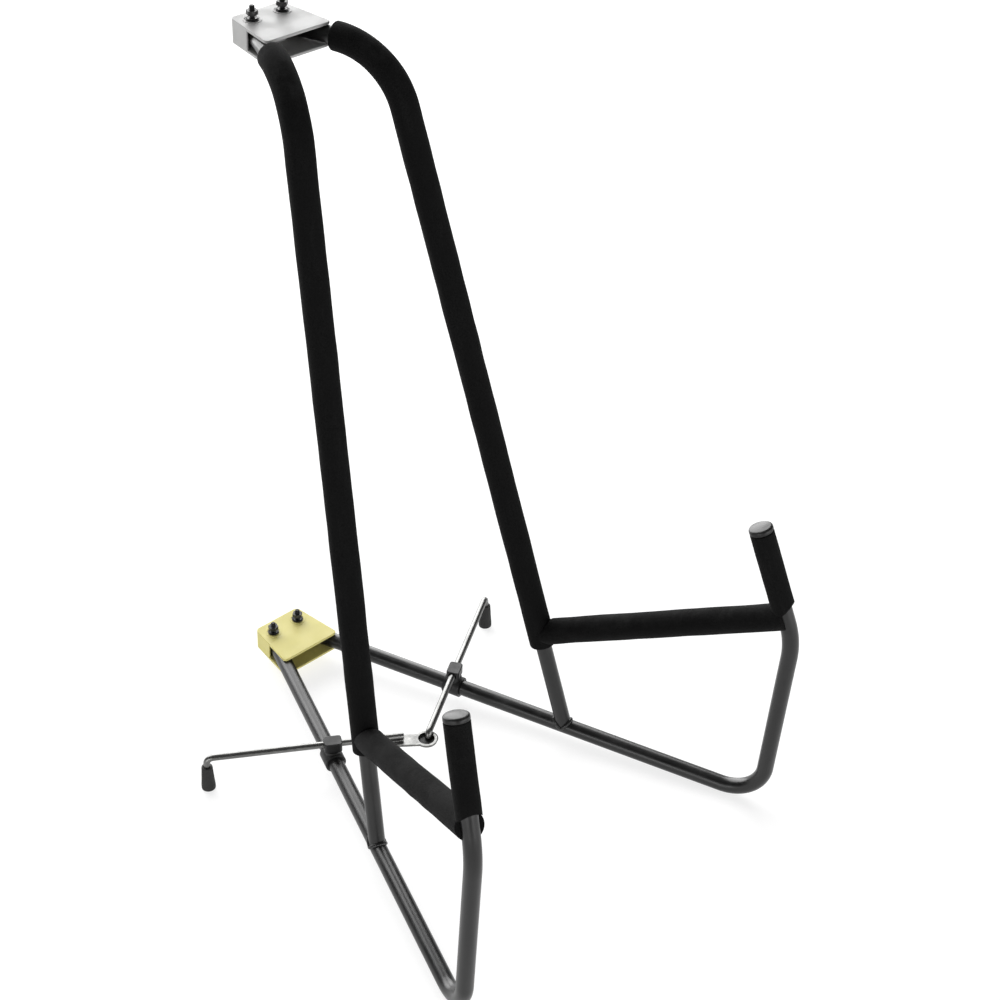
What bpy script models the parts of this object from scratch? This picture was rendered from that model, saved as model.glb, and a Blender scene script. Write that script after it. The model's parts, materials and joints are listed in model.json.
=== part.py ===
"""Folding guitar stand. Two bent-tube side frames hinge on two parallel axes, in a lower and an upper
yoke. Each frame has a padded back, arm and hook. A two-legged wire on swivels spreads behind them.

Metres, +Z up, the front towards -Y, standing on z = 0, set up for use.
"""

import math

import bmesh
import bpy
from mathutils import Matrix, Vector

MM = 0.001

# How the stand is set up
SPREAD = math.radians(20.3)  # each side frame, out from the centre line
LEAN = math.radians(2.0)  # the whole stand, forwards, which holds its rear off the floor
PIVOT_HALF = 9.7 * MM  # centre line to each hinge axis

# Side frame, in its own plane: distance ahead of the hinge axis, and height above the base tube's axis
BASE_LENGTH = 315.0 * MM
LEG_LEAN = 3.5 * MM
LEG_HEIGHT = 123.4 * MM
HOOK_LEAN = 26.8 * MM
HOOK_RISE = 65.9 * MM
BACK_FOOT_AHEAD = 188.5 * MM
BACK_TOP_AHEAD = 63.0 * MM
HINGE_SPAN = 411.0 * MM
ARM_REAR_HEIGHT = 66.6 * MM
ARM_FRONT_HEIGHT = 138.4 * MM
CORNER_BEND = 25.0 * MM
LEG_BEND = 60.0 * MM
TOP_BEND = 42.0 * MM

# Tubes and pads
TUBE_RADIUS = 4.75 * MM
TUBE_WALL = 1.2 * MM
TUBE_TAIL = 5.5 * MM  # tube behind its hinge axis
PAD_WALL = 2.7 * MM
HOOK_PAD_WALL = 1.7 * MM
BACK_PAD_OFF_YOKE = 5.0 * MM
BACK_PAD_BELOW_ARM = 8.0 * MM
PLUG_HEAD = 3.2 * MM
PLUG_EDGE = 1.4 * MM
PLUG_STEM = 11.0 * MM

# Yokes, in plan about the hinge axes, and their bolts
YOKE_PLATE = 1.6 * MM
YOKE_WALL = 1.8 * MM
YOKE_REAR_ROOM = 0.9 * MM  # from the opened-out tube ends to the rear wall
YOKE_FRONT = 26.0 * MM
YOKE_SIDE_WALL = 2.05 * MM  # beside the tubes when they are folded
YOKE_FRONT_HALF = 21.3 * MM
YOKE_WALL_END = 7.0 * MM  # side walls stop this far ahead of the axes
YOKE_RIB_END = 9.0 * MM
YOKE_CORNER = 3.0 * MM
BOLT_RADIUS = 1.5 * MM
BOLT_HEAD_FLATS = 5.5 * MM
BOLT_HEAD = 2.2 * MM
BOLT_OVER_NUT = 3.4 * MM
NUT_FLATS = 5.5 * MM
NUT_HEIGHT = 3.4 * MM
WASHER_RADIUS = 3.5 * MM
WASHER_THICKNESS = 0.5 * MM

# Wire legs: each turns on a swivel block, on a collar on the base tube
WIRE_RADIUS = 2.0 * MM
SWIVEL_AHEAD = 112.9 * MM  # swivel axis ahead of the hinge axis
WIRE_SPLAY = math.radians(58.3)  # wire, out from the centre line, set up
WIRE_OUTER = 74.4 * MM  # swivel axis to the turned-down end
WIRE_BEND = 4.0 * MM
COLLAR_WALL = 1.25 * MM
COLLAR_LENGTH = 11.0 * MM
BOSS_RADIUS = 4.6 * MM
BOSS_RISE = 1.0 * MM  # boss over the collar
BLOCK_LENGTH = 10.6 * MM
BLOCK_WIDTH = 8.2 * MM
BLOCK_FLOOR = 1.4 * MM  # under the wire
BLOCK_ROOF = 0.6 * MM  # over it
BLOCK_CORNER = 1.2 * MM
SPIGOT_RADIUS = 2.2 * MM
SPIGOT_REACH = 1.75 * MM  # inside the tube's bore
TIP_HEIGHT = 17.0 * MM
TIP_FOOT_RADIUS = 4.2 * MM
TIP_WALL = 0.95 * MM
TIP_FLOOR = 3.0 * MM
TIP_EDGE = 0.8 * MM

# Pivot where the wire legs meet: an eye plate on the left leg, and the right leg's end turned down
EYE_PLATE = 1.5 * MM
EYE_RIM = 1.7 * MM
EYE_TAIL_HALF = 4.6 * MM
EYE_TAIL = 26.0 * MM  # plate behind the pivot
LEFT_WIRE_STOP = 15.0 * MM  # the left wire ends this far short of the pivot
PIN_BEND = 3.2 * MM
PIN_OVER_CAP = 0.4 * MM
CAP_RADIUS = 6.0 * MM
CAP_THICKNESS = 1.5 * MM

# Fits and facets
GAP = 0.3 * MM
PAST = 2.0 * MM  # a cutter runs this far past what it cuts
END_PAST = 24.0 * MM  # and this far where it shapes the end of a slanted tube
MOULD_EDGE = 0.5 * MM  # small chamfer on the moulded pieces
SIDES = 16
SMALL_SIDES = 12
EYE_SIDES = 22
PLUG_EDGE_STEPS = 3
FOLD_STEPS = 40
ARC_STEP = math.radians(12)
SMOOTH_UNDER = math.radians(35)
SHARP_OVER = math.radians(50)

# What follows from them
YOKE_GAP_HALF = TUBE_RADIUS + GAP
YOKE_HALF_HEIGHT = YOKE_GAP_HALF + YOKE_PLATE
YOKE_REAR_INNER = TUBE_TAIL * math.cos(SPREAD) + TUBE_RADIUS * math.sin(SPREAD) + YOKE_REAR_ROOM
YOKE_REAR = YOKE_REAR_INNER + YOKE_WALL
YOKE_REAR_HALF = PIVOT_HALF + YOKE_GAP_HALF + YOKE_SIDE_WALL
PAD_RADIUS = TUBE_RADIUS + GAP + PAD_WALL
HOOK_PAD_RADIUS = TUBE_RADIUS + GAP + HOOK_PAD_WALL
BACK_PAD_START = YOKE_FRONT + BACK_PAD_OFF_YOKE
COLLAR_RADIUS = TUBE_RADIUS + GAP + COLLAR_WALL
BOSS_TOP = COLLAR_RADIUS + BOSS_RISE
SPIGOT_END = TUBE_RADIUS - TUBE_WALL - SPIGOT_REACH
WIRE_ROOM = WIRE_RADIUS + GAP
WIRE_HEIGHT = BOSS_TOP + GAP + BLOCK_FLOOR + WIRE_ROOM
BLOCK_HEIGHT = BLOCK_FLOOR + 2 * WIRE_ROOM + BLOCK_ROOF
TIP_TOP_RADIUS = WIRE_ROOM + TIP_WALL
PIVOT_RADIUS = (PIVOT_HALF + SWIVEL_AHEAD * math.sin(SPREAD)) / math.sin(WIRE_SPLAY)
WIRE_SPLAY_FOLDED = math.asin(PIVOT_HALF / PIVOT_RADIUS)

FINISHES = {
    "gloss_black": ((0.012, 0.012, 0.013), 0.18, 0.0),
    "foam_black": ((0.010, 0.010, 0.010), 0.85, 0.0),
    "yellow_plastic": ((0.86, 0.78, 0.34), 0.45, 0.0),
    "white_plastic": ((0.80, 0.80, 0.79), 0.45, 0.0),
    "black_plastic": ((0.015, 0.015, 0.015), 0.50, 0.0),
    "black_steel": ((0.030, 0.030, 0.032), 0.40, 0.7),
    "bright_steel": ((0.38, 0.38, 0.37), 0.32, 1.0),
    "rubber": ((0.014, 0.014, 0.014), 0.80, 0.0),
}


# ---- Places -------------------------------------------------------------------------------------


def in_frame(ahead, height):
    """A point in a side frame's own plane, from its hinge axis at base-tube height."""
    return Vector((0, -ahead, height))


FRONT_CORNER = in_frame(BASE_LENGTH, 0)
LEG_TOP = in_frame(BASE_LENGTH + LEG_LEAN, LEG_HEIGHT)
HOOK_TIP = LEG_TOP + Vector((0, HOOK_LEAN, HOOK_RISE))
BACK_FOOT = in_frame(BACK_FOOT_AHEAD, 0)
BACK_TOP = in_frame(BACK_TOP_AHEAD, HINGE_SPAN)
TOP_HINGE = in_frame(0, HINGE_SPAN)
TAIL = Vector((0, TUBE_TAIL, 0))


def at_height(low, high, height):
    """The point at this height on the line from low to high."""
    return low.lerp(high, (height - low.z) / (high.z - low.z))


ARM_REAR = at_height(BACK_FOOT, BACK_TOP, ARM_REAR_HEIGHT)
ARM_FRONT = at_height(LEG_TOP, HOOK_TIP, ARM_FRONT_HEIGHT)


def rounded_path(corners, radii):
    """The line through the corners, with each inner corner rounded to its radius."""
    path = [corners[0]]
    for before, corner, after, radius in zip(corners, corners[1:], corners[2:], radii):
        back = (before - corner).normalized()
        onward = (after - corner).normalized()
        turn = math.pi - back.angle(onward)
        centre = corner + (back + onward).normalized() * (radius / math.cos(turn / 2))
        start = corner + back * (radius * math.tan(turn / 2)) - centre
        axis = back.cross(start)
        steps = math.ceil(turn / ARC_STEP)
        for step in range(steps + 1):
            path.append(centre + Matrix.Rotation(turn * step / steps, 3, axis) @ start)
    path.append(corners[-1])
    return path


FRAME_PATH = rounded_path([TAIL, FRONT_CORNER, LEG_TOP, HOOK_TIP], [CORNER_BEND, LEG_BEND])
BACK_PATH = rounded_path([BACK_FOOT, BACK_TOP, TOP_HINGE + TAIL], [TOP_BEND])


def side_sign(side):
    return -1 if side == "left" else 1


def frame_place(side):
    """From a side frame's own axes to the stand's: local -Y runs forwards along the base tube."""
    sign = side_sign(side)
    return Matrix.Translation((sign * PIVOT_HALF, 0, 0)) @ Matrix.Rotation(sign * SPREAD, 4, "Z")


def wire_place(side):
    """From a wire leg's own axes to its side frame's: local +X runs outwards along the wire."""
    sign = side_sign(side)
    turn = math.pi / 2 - sign * (WIRE_SPLAY + SPREAD)
    return Matrix.Translation((0, -SWIVEL_AHEAD, 0)) @ Matrix.Rotation(turn, 4, "Z")


STAND_LEAN = Matrix.Rotation(LEAN, 4, "X")
FLOOR = min((STAND_LEAN @ frame_place("left") @ point).z for point in FRAME_PATH) - TUBE_RADIUS


def pin_drift():
    """How far the right leg's pin strays inside the left leg's eye, as a vector on the left leg's axes.

    Frames and wires turn at constant ratios, and the real linkage doesn't quite, so the two ends part
    a little in mid-fold and meet again at both ends of the range.
    """
    drift = Vector((0, 0))
    for step in range(FOLD_STEPS + 1):
        share = step / FOLD_STEPS
        spread = SPREAD * (1 - share)
        splay = WIRE_SPLAY + (WIRE_SPLAY_FOLDED - WIRE_SPLAY) * share
        past_centre = PIVOT_RADIUS * math.sin(splay) - PIVOT_HALF - SWIVEL_AHEAD * math.sin(spread)
        here = Vector((math.sin(splay), math.cos(splay))) * 2 * past_centre
        if here.length > drift.length:
            drift = here
    return drift


PIN_DRIFT = pin_drift()
EYE_HOLE = WIRE_RADIUS + PIN_DRIFT.length / 2 + GAP


# ---- Shapes -------------------------------------------------------------------------------------


def swept_skin(path, radius, sides=SIDES):
    """An open-ended round skin along the path."""
    runs = [(after - before).normalized() for before, after in zip(path, path[1:])]
    headings = [runs[0]] + [(a + b).normalized() for a, b in zip(runs, runs[1:])] + [runs[-1]]
    turn = Vector((0, 0, 1)).rotation_difference(headings[0])
    place = Matrix.Translation(path[0]) @ turn.to_matrix().to_4x4()
    bm = bmesh.new()
    bmesh.ops.create_circle(bm, segments=sides, radius=radius, matrix=place)
    ring = bm.edges[:]
    for point, heading, last_heading in zip(path[1:], headings[1:], headings):
        turn = last_heading.rotation_difference(heading) @ turn
        next_place = Matrix.Translation(point) @ turn.to_matrix().to_4x4()
        made = bmesh.ops.extrude_edge_only(bm, edges=ring)["geom"]
        ring = [item for item in made if isinstance(item, bmesh.types.BMEdge)]
        verts = [item for item in made if isinstance(item, bmesh.types.BMVert)]
        bmesh.ops.transform(bm, matrix=next_place @ place.inverted(), verts=verts)
        place = next_place
    return bm


def swept_rod(path, radius, sides=SIDES):
    """A solid round rod along the path."""
    bm = swept_skin(path, radius, sides)
    ends = [edge for edge in bm.edges if edge.is_boundary]
    bmesh.ops.holes_fill(bm, edges=ends, sides=sides)
    return bm


def rod(start, end, radius, sides=SIDES):
    return swept_rod([start, end], radius, sides)


def prism(outline, low, high):
    """The solid between two heights with this outline, a list of (x, y)."""
    bm = bmesh.new()
    verts = [bm.verts.new((x, y, low)) for x, y in outline]
    face = bm.faces.new(verts)
    made = bmesh.ops.extrude_face_region(bm, geom=[face])["geom"]
    risen = [item for item in made if isinstance(item, bmesh.types.BMVert)]
    bmesh.ops.translate(bm, vec=(0, 0, high - low), verts=risen)
    return bm


def turned(profile, sides=SIDES):
    """A solid turned about Z. The profile is a list of (radius, height), from the axis to the axis
    or, for a ring, all the way round."""
    bm = bmesh.new()
    verts = [bm.verts.new((radius, 0, height)) for radius, height in profile]
    pairs = list(zip(verts, verts[1:]))
    if profile[0][0] > 0:
        pairs.append((verts[-1], verts[0]))
    edges = [bm.edges.new(pair) for pair in pairs]
    bmesh.ops.spin(
        bm, geom=verts + edges, cent=(0, 0, 0), axis=(0, 0, 1), angle=2 * math.pi, steps=sides, use_merge=True
    )
    bmesh.ops.remove_doubles(bm, verts=bm.verts, dist=0.001 * MM)
    return bm


def circle(radius, sides, centre=(0, 0)):
    angles = [2 * math.pi * index / sides for index in range(sides)]
    return [(centre[0] + radius * math.cos(a), centre[1] + radius * math.sin(a)) for a in angles]


def hexagon(flats):
    """A hexagon's corners and the middles of its sides."""
    corners = circle(flats / math.sqrt(3), 6)
    outline = []
    for corner, after in zip(corners, corners[1:] + corners[:1]):
        outline.append(corner)
        outline.append(((corner[0] + after[0]) / 2, (corner[1] + after[1]) / 2))
    return outline


def hex_nut(flats, bore, low, high):
    """A hexagonal ring between two heights."""
    bm = bmesh.new()
    loops = []
    for outline in (hexagon(flats), circle(bore, SMALL_SIDES)):
        verts = [bm.verts.new((x, y, low)) for x, y in outline]
        loops += [bm.edges.new((a, b)) for a, b in zip(verts, verts[1:] + verts[:1])]
    ring = bmesh.ops.bridge_loops(bm, edges=loops)["faces"]
    made = bmesh.ops.extrude_face_region(bm, geom=ring)["geom"]
    risen = [item for item in made if isinstance(item, bmesh.types.BMVert)]
    bmesh.ops.translate(bm, vec=(0, 0, high - low), verts=risen)
    return bm


def hex_bolt(flats, head, shank, length):
    """A bolt, pointing up, with its head under z = 0."""
    bm = prism(hexagon(flats), -head, 0)
    top = max(bm.faces, key=lambda face: face.calc_center_median().z)
    bmesh.ops.inset_region(bm, faces=[top], thickness=flats / 2 - shank, use_even_offset=True)
    for vert in top.verts:
        vert.co.xy = vert.co.xy.normalized() * shank
    made = bmesh.ops.extrude_face_region(bm, geom=[top])["geom"]
    bmesh.ops.delete(bm, geom=[top], context="FACES_ONLY")
    risen = [item for item in made if isinstance(item, bmesh.types.BMVert)]
    bmesh.ops.translate(bm, vec=(0, 0, length), verts=risen)
    return bm


def bevel_upright_edges(bm, width, segments):
    upright = [e for e in bm.edges if abs(e.verts[0].co.z - e.verts[1].co.z) > width]
    bmesh.ops.bevel(
        bm, geom=upright, offset=width, segments=segments, profile=0.5, affect="EDGES", material=-1
    )


def bevel_sharp_edges(bm, width, segments=1):
    sharp = [e for e in bm.edges if e.calc_face_angle(0) > SHARP_OVER]
    bmesh.ops.bevel(
        bm, geom=sharp, offset=width, segments=segments, profile=0.5, affect="EDGES", material=-1
    )


# ---- Objects ------------------------------------------------------------------------------------


def finish_material(name, finish):
    colour, roughness, metallic = FINISHES[finish]
    material = bpy.data.materials.new(name)
    material.use_nodes = True
    shader = material.node_tree.nodes["Principled BSDF"]
    shader.inputs["Base Color"].default_value = (*colour, 1)
    shader.inputs["Roughness"].default_value = roughness
    shader.inputs["Metallic"].default_value = metallic
    material.diffuse_color = (*colour, 1)
    return material


def new_object(name, bm, parent, place=Matrix.Identity(4)):
    bmesh.ops.recalc_face_normals(bm, faces=bm.faces)
    mesh = bpy.data.meshes.new(name)
    bm.to_mesh(mesh)
    bm.free()
    obj = bpy.data.objects.new(name, mesh)
    bpy.context.scene.collection.objects.link(obj)
    obj.parent = parent
    obj.matrix_basis = place
    return obj


def add_piece(name, bm, finish, parent, place=Matrix.Identity(4)):
    piece = new_object(name, bm, parent, place)
    piece.data.materials.append(finish_material(name, finish))
    piece.data.shade_smooth()
    piece.data.set_sharp_from_angle(angle=SMOOTH_UNDER)
    return piece


def add_tube(name, path, radius, wall, finish, parent):
    """A round tube with open ends."""
    tube = add_piece(name, swept_skin(path, radius), finish, parent)
    skin = tube.modifiers.new("Wall", "SOLIDIFY")
    skin.thickness = wall
    skin.offset = -1
    return tube


def combine(piece, operation, other_name, bm, place=Matrix.Identity(4)):
    """Cuts a shape out of the piece, or joins it on. The shape is on the piece's parent's axes."""
    other = new_object(other_name, bm, piece.parent, place)
    other.hide_render = True
    other.display_type = "WIRE"
    boolean = piece.modifiers.new(other_name, "BOOLEAN")
    boolean.operation = operation
    boolean.object = other


def cut(piece, other_name, bm, place=Matrix.Identity(4)):
    combine(piece, "DIFFERENCE", other_name, bm, place)


def join(piece, other_name, bm, place=Matrix.Identity(4)):
    combine(piece, "UNION", other_name, bm, place)


def add_axis(name, parent, place):
    """An empty on a joint's axis, which carries the pieces that turn on it."""
    axis = bpy.data.objects.new(name, None)
    axis.empty_display_size = 20 * MM
    bpy.context.scene.collection.objects.link(axis)
    axis.parent = parent
    axis.matrix_basis = place
    return axis


# ---- Yokes and hinge bolts ----------------------------------------------------------------------


def mirrored(right_half):
    """An outline from its right half, listed from the rear to the front."""
    return right_half + [(-x, y) for x, y in reversed(right_half)]


def tube_edge_at(y, side_of_axis):
    """Where an opened-out tube's outer (+1) or inner (-1) flank crosses y, with its clearance."""
    return PIVOT_HALF - y * math.tan(SPREAD) + side_of_axis * YOKE_GAP_HALF / math.cos(SPREAD)


def yoke_pocket():
    """The space between the plates: room for both tubes to swing, round a central rib."""
    rear = YOKE_REAR_INNER
    flank = PIVOT_HALF + YOKE_GAP_HALF
    flank_start = (tube_edge_at(0, 1) - flank) / math.tan(SPREAD)
    rib_front = PIVOT_HALF - YOKE_GAP_HALF
    rib_rear = PIVOT_HALF - TUBE_TAIL * math.sin(SPREAD) - YOKE_GAP_HALF
    beyond = YOKE_FRONT_HALF + PAST
    right_half = [
        (rib_rear, rear),
        (flank, rear),
        (flank, flank_start),
        (tube_edge_at(-YOKE_WALL_END, 1), -YOKE_WALL_END),
        (beyond, -YOKE_WALL_END),
        (beyond, -YOKE_FRONT - PAST),
    ]
    rib = [(rib_front, -YOKE_RIB_END), (rib_front, -TUBE_RADIUS), (rib_rear, TUBE_RADIUS)]
    left_half = [(-x, y) for x, y in reversed(right_half)]
    left_rib = [(-x, y) for x, y in reversed(rib)]
    return right_half + left_half + left_rib + rib


def add_yoke(level, finish, parent):
    outline = mirrored([(YOKE_REAR_HALF, YOKE_REAR), (YOKE_FRONT_HALF, -YOKE_FRONT)])
    bm = prism(outline, -YOKE_HALF_HEIGHT, YOKE_HALF_HEIGHT)
    bevel_upright_edges(bm, YOKE_CORNER, segments=4)
    bevel_sharp_edges(bm, MOULD_EDGE)
    yoke = add_piece(f"{level}_yoke", bm, finish, parent)
    cut(yoke, f"{level}_yoke_pocket", prism(yoke_pocket(), -YOKE_GAP_HALF, YOKE_GAP_HALF))
    for side in ("left", "right"):
        centre = Vector((side_sign(side) * PIVOT_HALF, 0, 0))
        reach = Vector((0, 0, YOKE_HALF_HEIGHT + PAST))
        hole = rod(centre - reach, centre + reach, BOLT_RADIUS + GAP, SMALL_SIDES)
        cut(yoke, f"{level}_{side}_yoke_hole", hole)


def add_hinge_bolt(level, side, parent):
    place = Matrix.Translation((side_sign(side) * PIVOT_HALF, 0, 0))
    under = -YOKE_HALF_HEIGHT - GAP
    washer_low = YOKE_HALF_HEIGHT + GAP
    nut_low = washer_low + WASHER_THICKNESS + GAP
    nut_high = nut_low + NUT_HEIGHT
    length = nut_high + BOLT_OVER_NUT - under
    bolt = hex_bolt(BOLT_HEAD_FLATS, BOLT_HEAD, BOLT_RADIUS, length)
    bmesh.ops.translate(bolt, vec=(0, 0, under), verts=bolt.verts)
    add_piece(f"{level}_{side}_hinge_bolt", bolt, "black_steel", parent, place)
    washer = turned(
        [
            (BOLT_RADIUS + GAP, washer_low),
            (WASHER_RADIUS, washer_low),
            (WASHER_RADIUS, washer_low + WASHER_THICKNESS),
            (BOLT_RADIUS + GAP, washer_low + WASHER_THICKNESS),
        ],
        SIDES,
    )
    add_piece(f"{level}_{side}_hinge_washer", washer, "black_steel", parent, place)
    nut = hex_nut(NUT_FLATS, BOLT_RADIUS + GAP, nut_low, nut_high)
    add_piece(f"{level}_{side}_hinge_nut", nut, "black_steel", parent, place)


# ---- Side frames --------------------------------------------------------------------------------


def hinge_hole(centre):
    reach = Vector((0, 0, TUBE_RADIUS + PAST))
    return rod(centre - reach, centre + reach, BOLT_RADIUS + GAP, SMALL_SIDES)


def frame_tube_room():
    """The frame tube's shape, with clearance all round."""
    return swept_rod(FRAME_PATH, TUBE_RADIUS + GAP)


def line_room(start, end, radius):
    """A straight tube's or pad's shape, with clearance, run on past both ends."""
    past = (end - start).normalized() * END_PAST
    return rod(start - past, end + past, radius + GAP)


def add_tubes(side, frame):
    """The frame tube is bent to base, leg and hook. The back tube and the arm tube are welded to it."""
    tube = add_tube(f"{side}_frame_tube", FRAME_PATH, TUBE_RADIUS, TUBE_WALL, "gloss_black", frame)
    cut(tube, f"{side}_lower_hinge_hole", hinge_hole(Vector()))
    swivel = in_frame(SWIVEL_AHEAD, 0)
    up = Vector((0, 0, TUBE_RADIUS + PAST))
    cut(tube, f"{side}_swivel_hole", rod(swivel, swivel + up, SPIGOT_RADIUS + GAP, SMALL_SIDES))

    back = add_tube(f"{side}_back_tube", BACK_PATH, TUBE_RADIUS, TUBE_WALL, "gloss_black", frame)
    cut(back, f"{side}_upper_hinge_hole", hinge_hole(TOP_HINGE))
    cut(back, f"{side}_back_tube_foot", frame_tube_room())

    arm_path = [ARM_REAR, ARM_FRONT]
    arm = add_tube(f"{side}_arm_tube", arm_path, TUBE_RADIUS, TUBE_WALL, "gloss_black", frame)
    cut(arm, f"{side}_arm_rear_end", line_room(BACK_FOOT, BACK_TOP, TUBE_RADIUS))
    cut(arm, f"{side}_arm_front_end", frame_tube_room())


def add_pads(side, frame):
    """Foam sleeves on the back tube, the arm tube and the hook, each butted to the next."""
    back_run = (BACK_FOOT - BACK_TOP).normalized()
    back_end = ARM_REAR + back_run * BACK_PAD_BELOW_ARM
    back_path = rounded_path([in_frame(BACK_PAD_START, HINGE_SPAN), BACK_TOP, back_end], [TOP_BEND])
    back = add_tube(f"{side}_back_pad", back_path, PAD_RADIUS, PAD_WALL, "foam_black", frame)
    cut(back, f"{side}_back_pad_arm_hole", rod(ARM_REAR, ARM_FRONT, TUBE_RADIUS + GAP))

    arm = add_tube(f"{side}_arm_pad", [ARM_REAR, ARM_FRONT], PAD_RADIUS, PAD_WALL, "foam_black", frame)
    cut(arm, f"{side}_arm_pad_rear_end", line_room(BACK_FOOT, BACK_TOP, PAD_RADIUS))
    cut(arm, f"{side}_arm_pad_front_end", frame_tube_room())

    hook_path = [HOOK_TIP, ARM_FRONT]
    hook = add_tube(f"{side}_hook_pad", hook_path, HOOK_PAD_RADIUS, HOOK_PAD_WALL, "foam_black", frame)
    cut(hook, f"{side}_hook_pad_foot", line_room(ARM_REAR, ARM_FRONT, PAD_RADIUS))


def add_hook_plug(side, frame):
    """The end cap that closes the hook: a stem in the tube's bore, and a round-edged head over the pad."""
    stem = TUBE_RADIUS - TUBE_WALL - GAP
    profile = [
        (0, -PLUG_STEM),
        (stem, -PLUG_STEM),
        (stem, GAP),
        (HOOK_PAD_RADIUS, GAP),
    ]
    for step in range(PLUG_EDGE_STEPS + 1):
        angle = math.pi / 2 * step / PLUG_EDGE_STEPS
        inset = PLUG_EDGE * (1 - math.cos(angle))
        drop = PLUG_EDGE * (1 - math.sin(angle))
        profile.append((HOOK_PAD_RADIUS - inset, PLUG_HEAD - drop))
    profile.append((0, PLUG_HEAD))
    turn = Vector((0, 0, 1)).rotation_difference(HOOK_TIP - LEG_TOP)
    place = Matrix.Translation(HOOK_TIP) @ turn.to_matrix().to_4x4()
    add_piece(f"{side}_hook_plug", turned(profile), "black_plastic", frame, place)


def add_collar(side, frame):
    """A collar on the base tube, with a boss on top for the swivel block."""
    swivel = in_frame(SWIVEL_AHEAD, 0)
    half = Vector((0, COLLAR_LENGTH / 2, 0))
    bm = rod(swivel - half, swivel + half, COLLAR_RADIUS)
    bevel_sharp_edges(bm, MOULD_EDGE)
    collar = add_piece(f"{side}_wire_collar", bm, "black_plastic", frame)
    boss_top = swivel + Vector((0, 0, BOSS_TOP))
    join(collar, f"{side}_collar_boss", rod(swivel, boss_top, BOSS_RADIUS))
    reach = Vector((0, COLLAR_LENGTH, 0))
    cut(collar, f"{side}_collar_bore", rod(swivel - reach, swivel + reach, TUBE_RADIUS + GAP))
    past_top = boss_top + Vector((0, 0, PAST))
    cut(collar, f"{side}_collar_hole", rod(swivel, past_top, SPIGOT_RADIUS + GAP, SMALL_SIDES))


# ---- Wire legs, on the axes of their swivels -----------------------------------------------------


def add_swivel_block(side, swivel):
    """The block that grips the wire. Its spigot turns in the collar and the tube wall."""
    bm = bmesh.new()
    bmesh.ops.create_cube(bm, size=1)
    bmesh.ops.scale(bm, vec=(BLOCK_LENGTH, BLOCK_WIDTH, BLOCK_HEIGHT), verts=bm.verts)
    bmesh.ops.translate(bm, vec=(0, 0, BOSS_TOP + GAP + BLOCK_HEIGHT / 2), verts=bm.verts)
    bevel_upright_edges(bm, BLOCK_CORNER, segments=3)
    bevel_sharp_edges(bm, MOULD_EDGE)
    block = add_piece(f"{side}_swivel_block", bm, "black_plastic", swivel)
    foot = Vector((0, 0, SPIGOT_END))
    head = Vector((0, 0, BOSS_TOP + PAST))
    join(block, f"{side}_swivel_spigot", rod(foot, head, SPIGOT_RADIUS, SMALL_SIDES))
    reach = Vector((BLOCK_LENGTH, 0, 0))
    centre = Vector((0, 0, WIRE_HEIGHT))
    bore = rod(centre - reach, centre + reach, WIRE_ROOM, SMALL_SIDES)
    cut(block, f"{side}_swivel_bore", bore)


def wire_inner_end(side):
    """The left wire stops short of the pivot. The right wire turns down there, through the eye."""
    pivot = Vector((-PIVOT_RADIUS, 0, WIRE_HEIGHT))
    if side == "left":
        return [pivot + Vector((LEFT_WIRE_STOP, 0, 0))]
    return [Vector((-PIVOT_RADIUS, 0, eye_low() - GAP - CAP_THICKNESS - PIN_OVER_CAP)), pivot]


def eye_low():
    return WIRE_HEIGHT - WIRE_RADIUS - GAP - EYE_PLATE


def add_wire(side, swivel):
    """The wire and its rubber tip. Its outer end turns straight down to the floor."""
    to_stand = STAND_LEAN @ frame_place(side) @ wire_place(side)
    down = to_stand.to_3x3().inverted() @ Vector((0, 0, -1))
    corner = Vector((WIRE_OUTER, 0, WIRE_HEIGHT))
    floor_point = corner + down * ((to_stand @ corner).z - FLOOR)
    wire_end = floor_point - down * (TIP_FLOOR + GAP)
    corners = wire_inner_end(side) + [corner, wire_end]
    bends = [WIRE_BEND] if side == "left" else [PIN_BEND, WIRE_BEND]
    path = rounded_path(corners, bends)
    wire = swept_rod(path, WIRE_RADIUS, SMALL_SIDES)
    add_piece(f"{side}_wire", wire, "bright_steel", swivel)

    profile = [
        (0, 0),
        (TIP_FOOT_RADIUS - TIP_EDGE, 0),
        (TIP_FOOT_RADIUS, TIP_EDGE),
        (TIP_FOOT_RADIUS, TIP_FLOOR),
        (TIP_TOP_RADIUS, TIP_HEIGHT),
        (WIRE_ROOM, TIP_HEIGHT),
        (WIRE_ROOM, TIP_FLOOR),
        (0, TIP_FLOOR),
    ]
    turn = Vector((0, 0, 1)).rotation_difference(-down)
    place = Matrix.Translation(floor_point) @ turn.to_matrix().to_4x4()
    add_piece(f"{side}_rubber_tip", turned(profile), "rubber", swivel, place)


def add_eye_plate(swivel):
    """The plate welded under the left wire's end. Its eye has room for the pin to drift in."""
    eye = Vector((-PIVOT_RADIUS, 0)) + PIN_DRIFT / 2
    rim = EYE_HOLE + EYE_RIM
    tail_end = -PIVOT_RADIUS + EYE_TAIL
    half = math.asin(EYE_TAIL_HALF / rim)
    outline = []
    for step in range(EYE_SIDES + 1):
        angle = half + (2 * math.pi - 2 * half) * step / EYE_SIDES
        outline.append((eye.x + rim * math.cos(angle), eye.y + rim * math.sin(angle)))
    outline += [(tail_end, -EYE_TAIL_HALF), (tail_end, EYE_TAIL_HALF)]
    low = eye_low()
    plate = add_piece("left_eye_plate", prism(outline, low, low + EYE_PLATE), "bright_steel", swivel)
    below = Vector((eye.x, eye.y, low - PAST))
    above = Vector((eye.x, eye.y, low + EYE_PLATE + PAST))
    cut(plate, "left_eye_hole", rod(below, above, EYE_HOLE))


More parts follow.
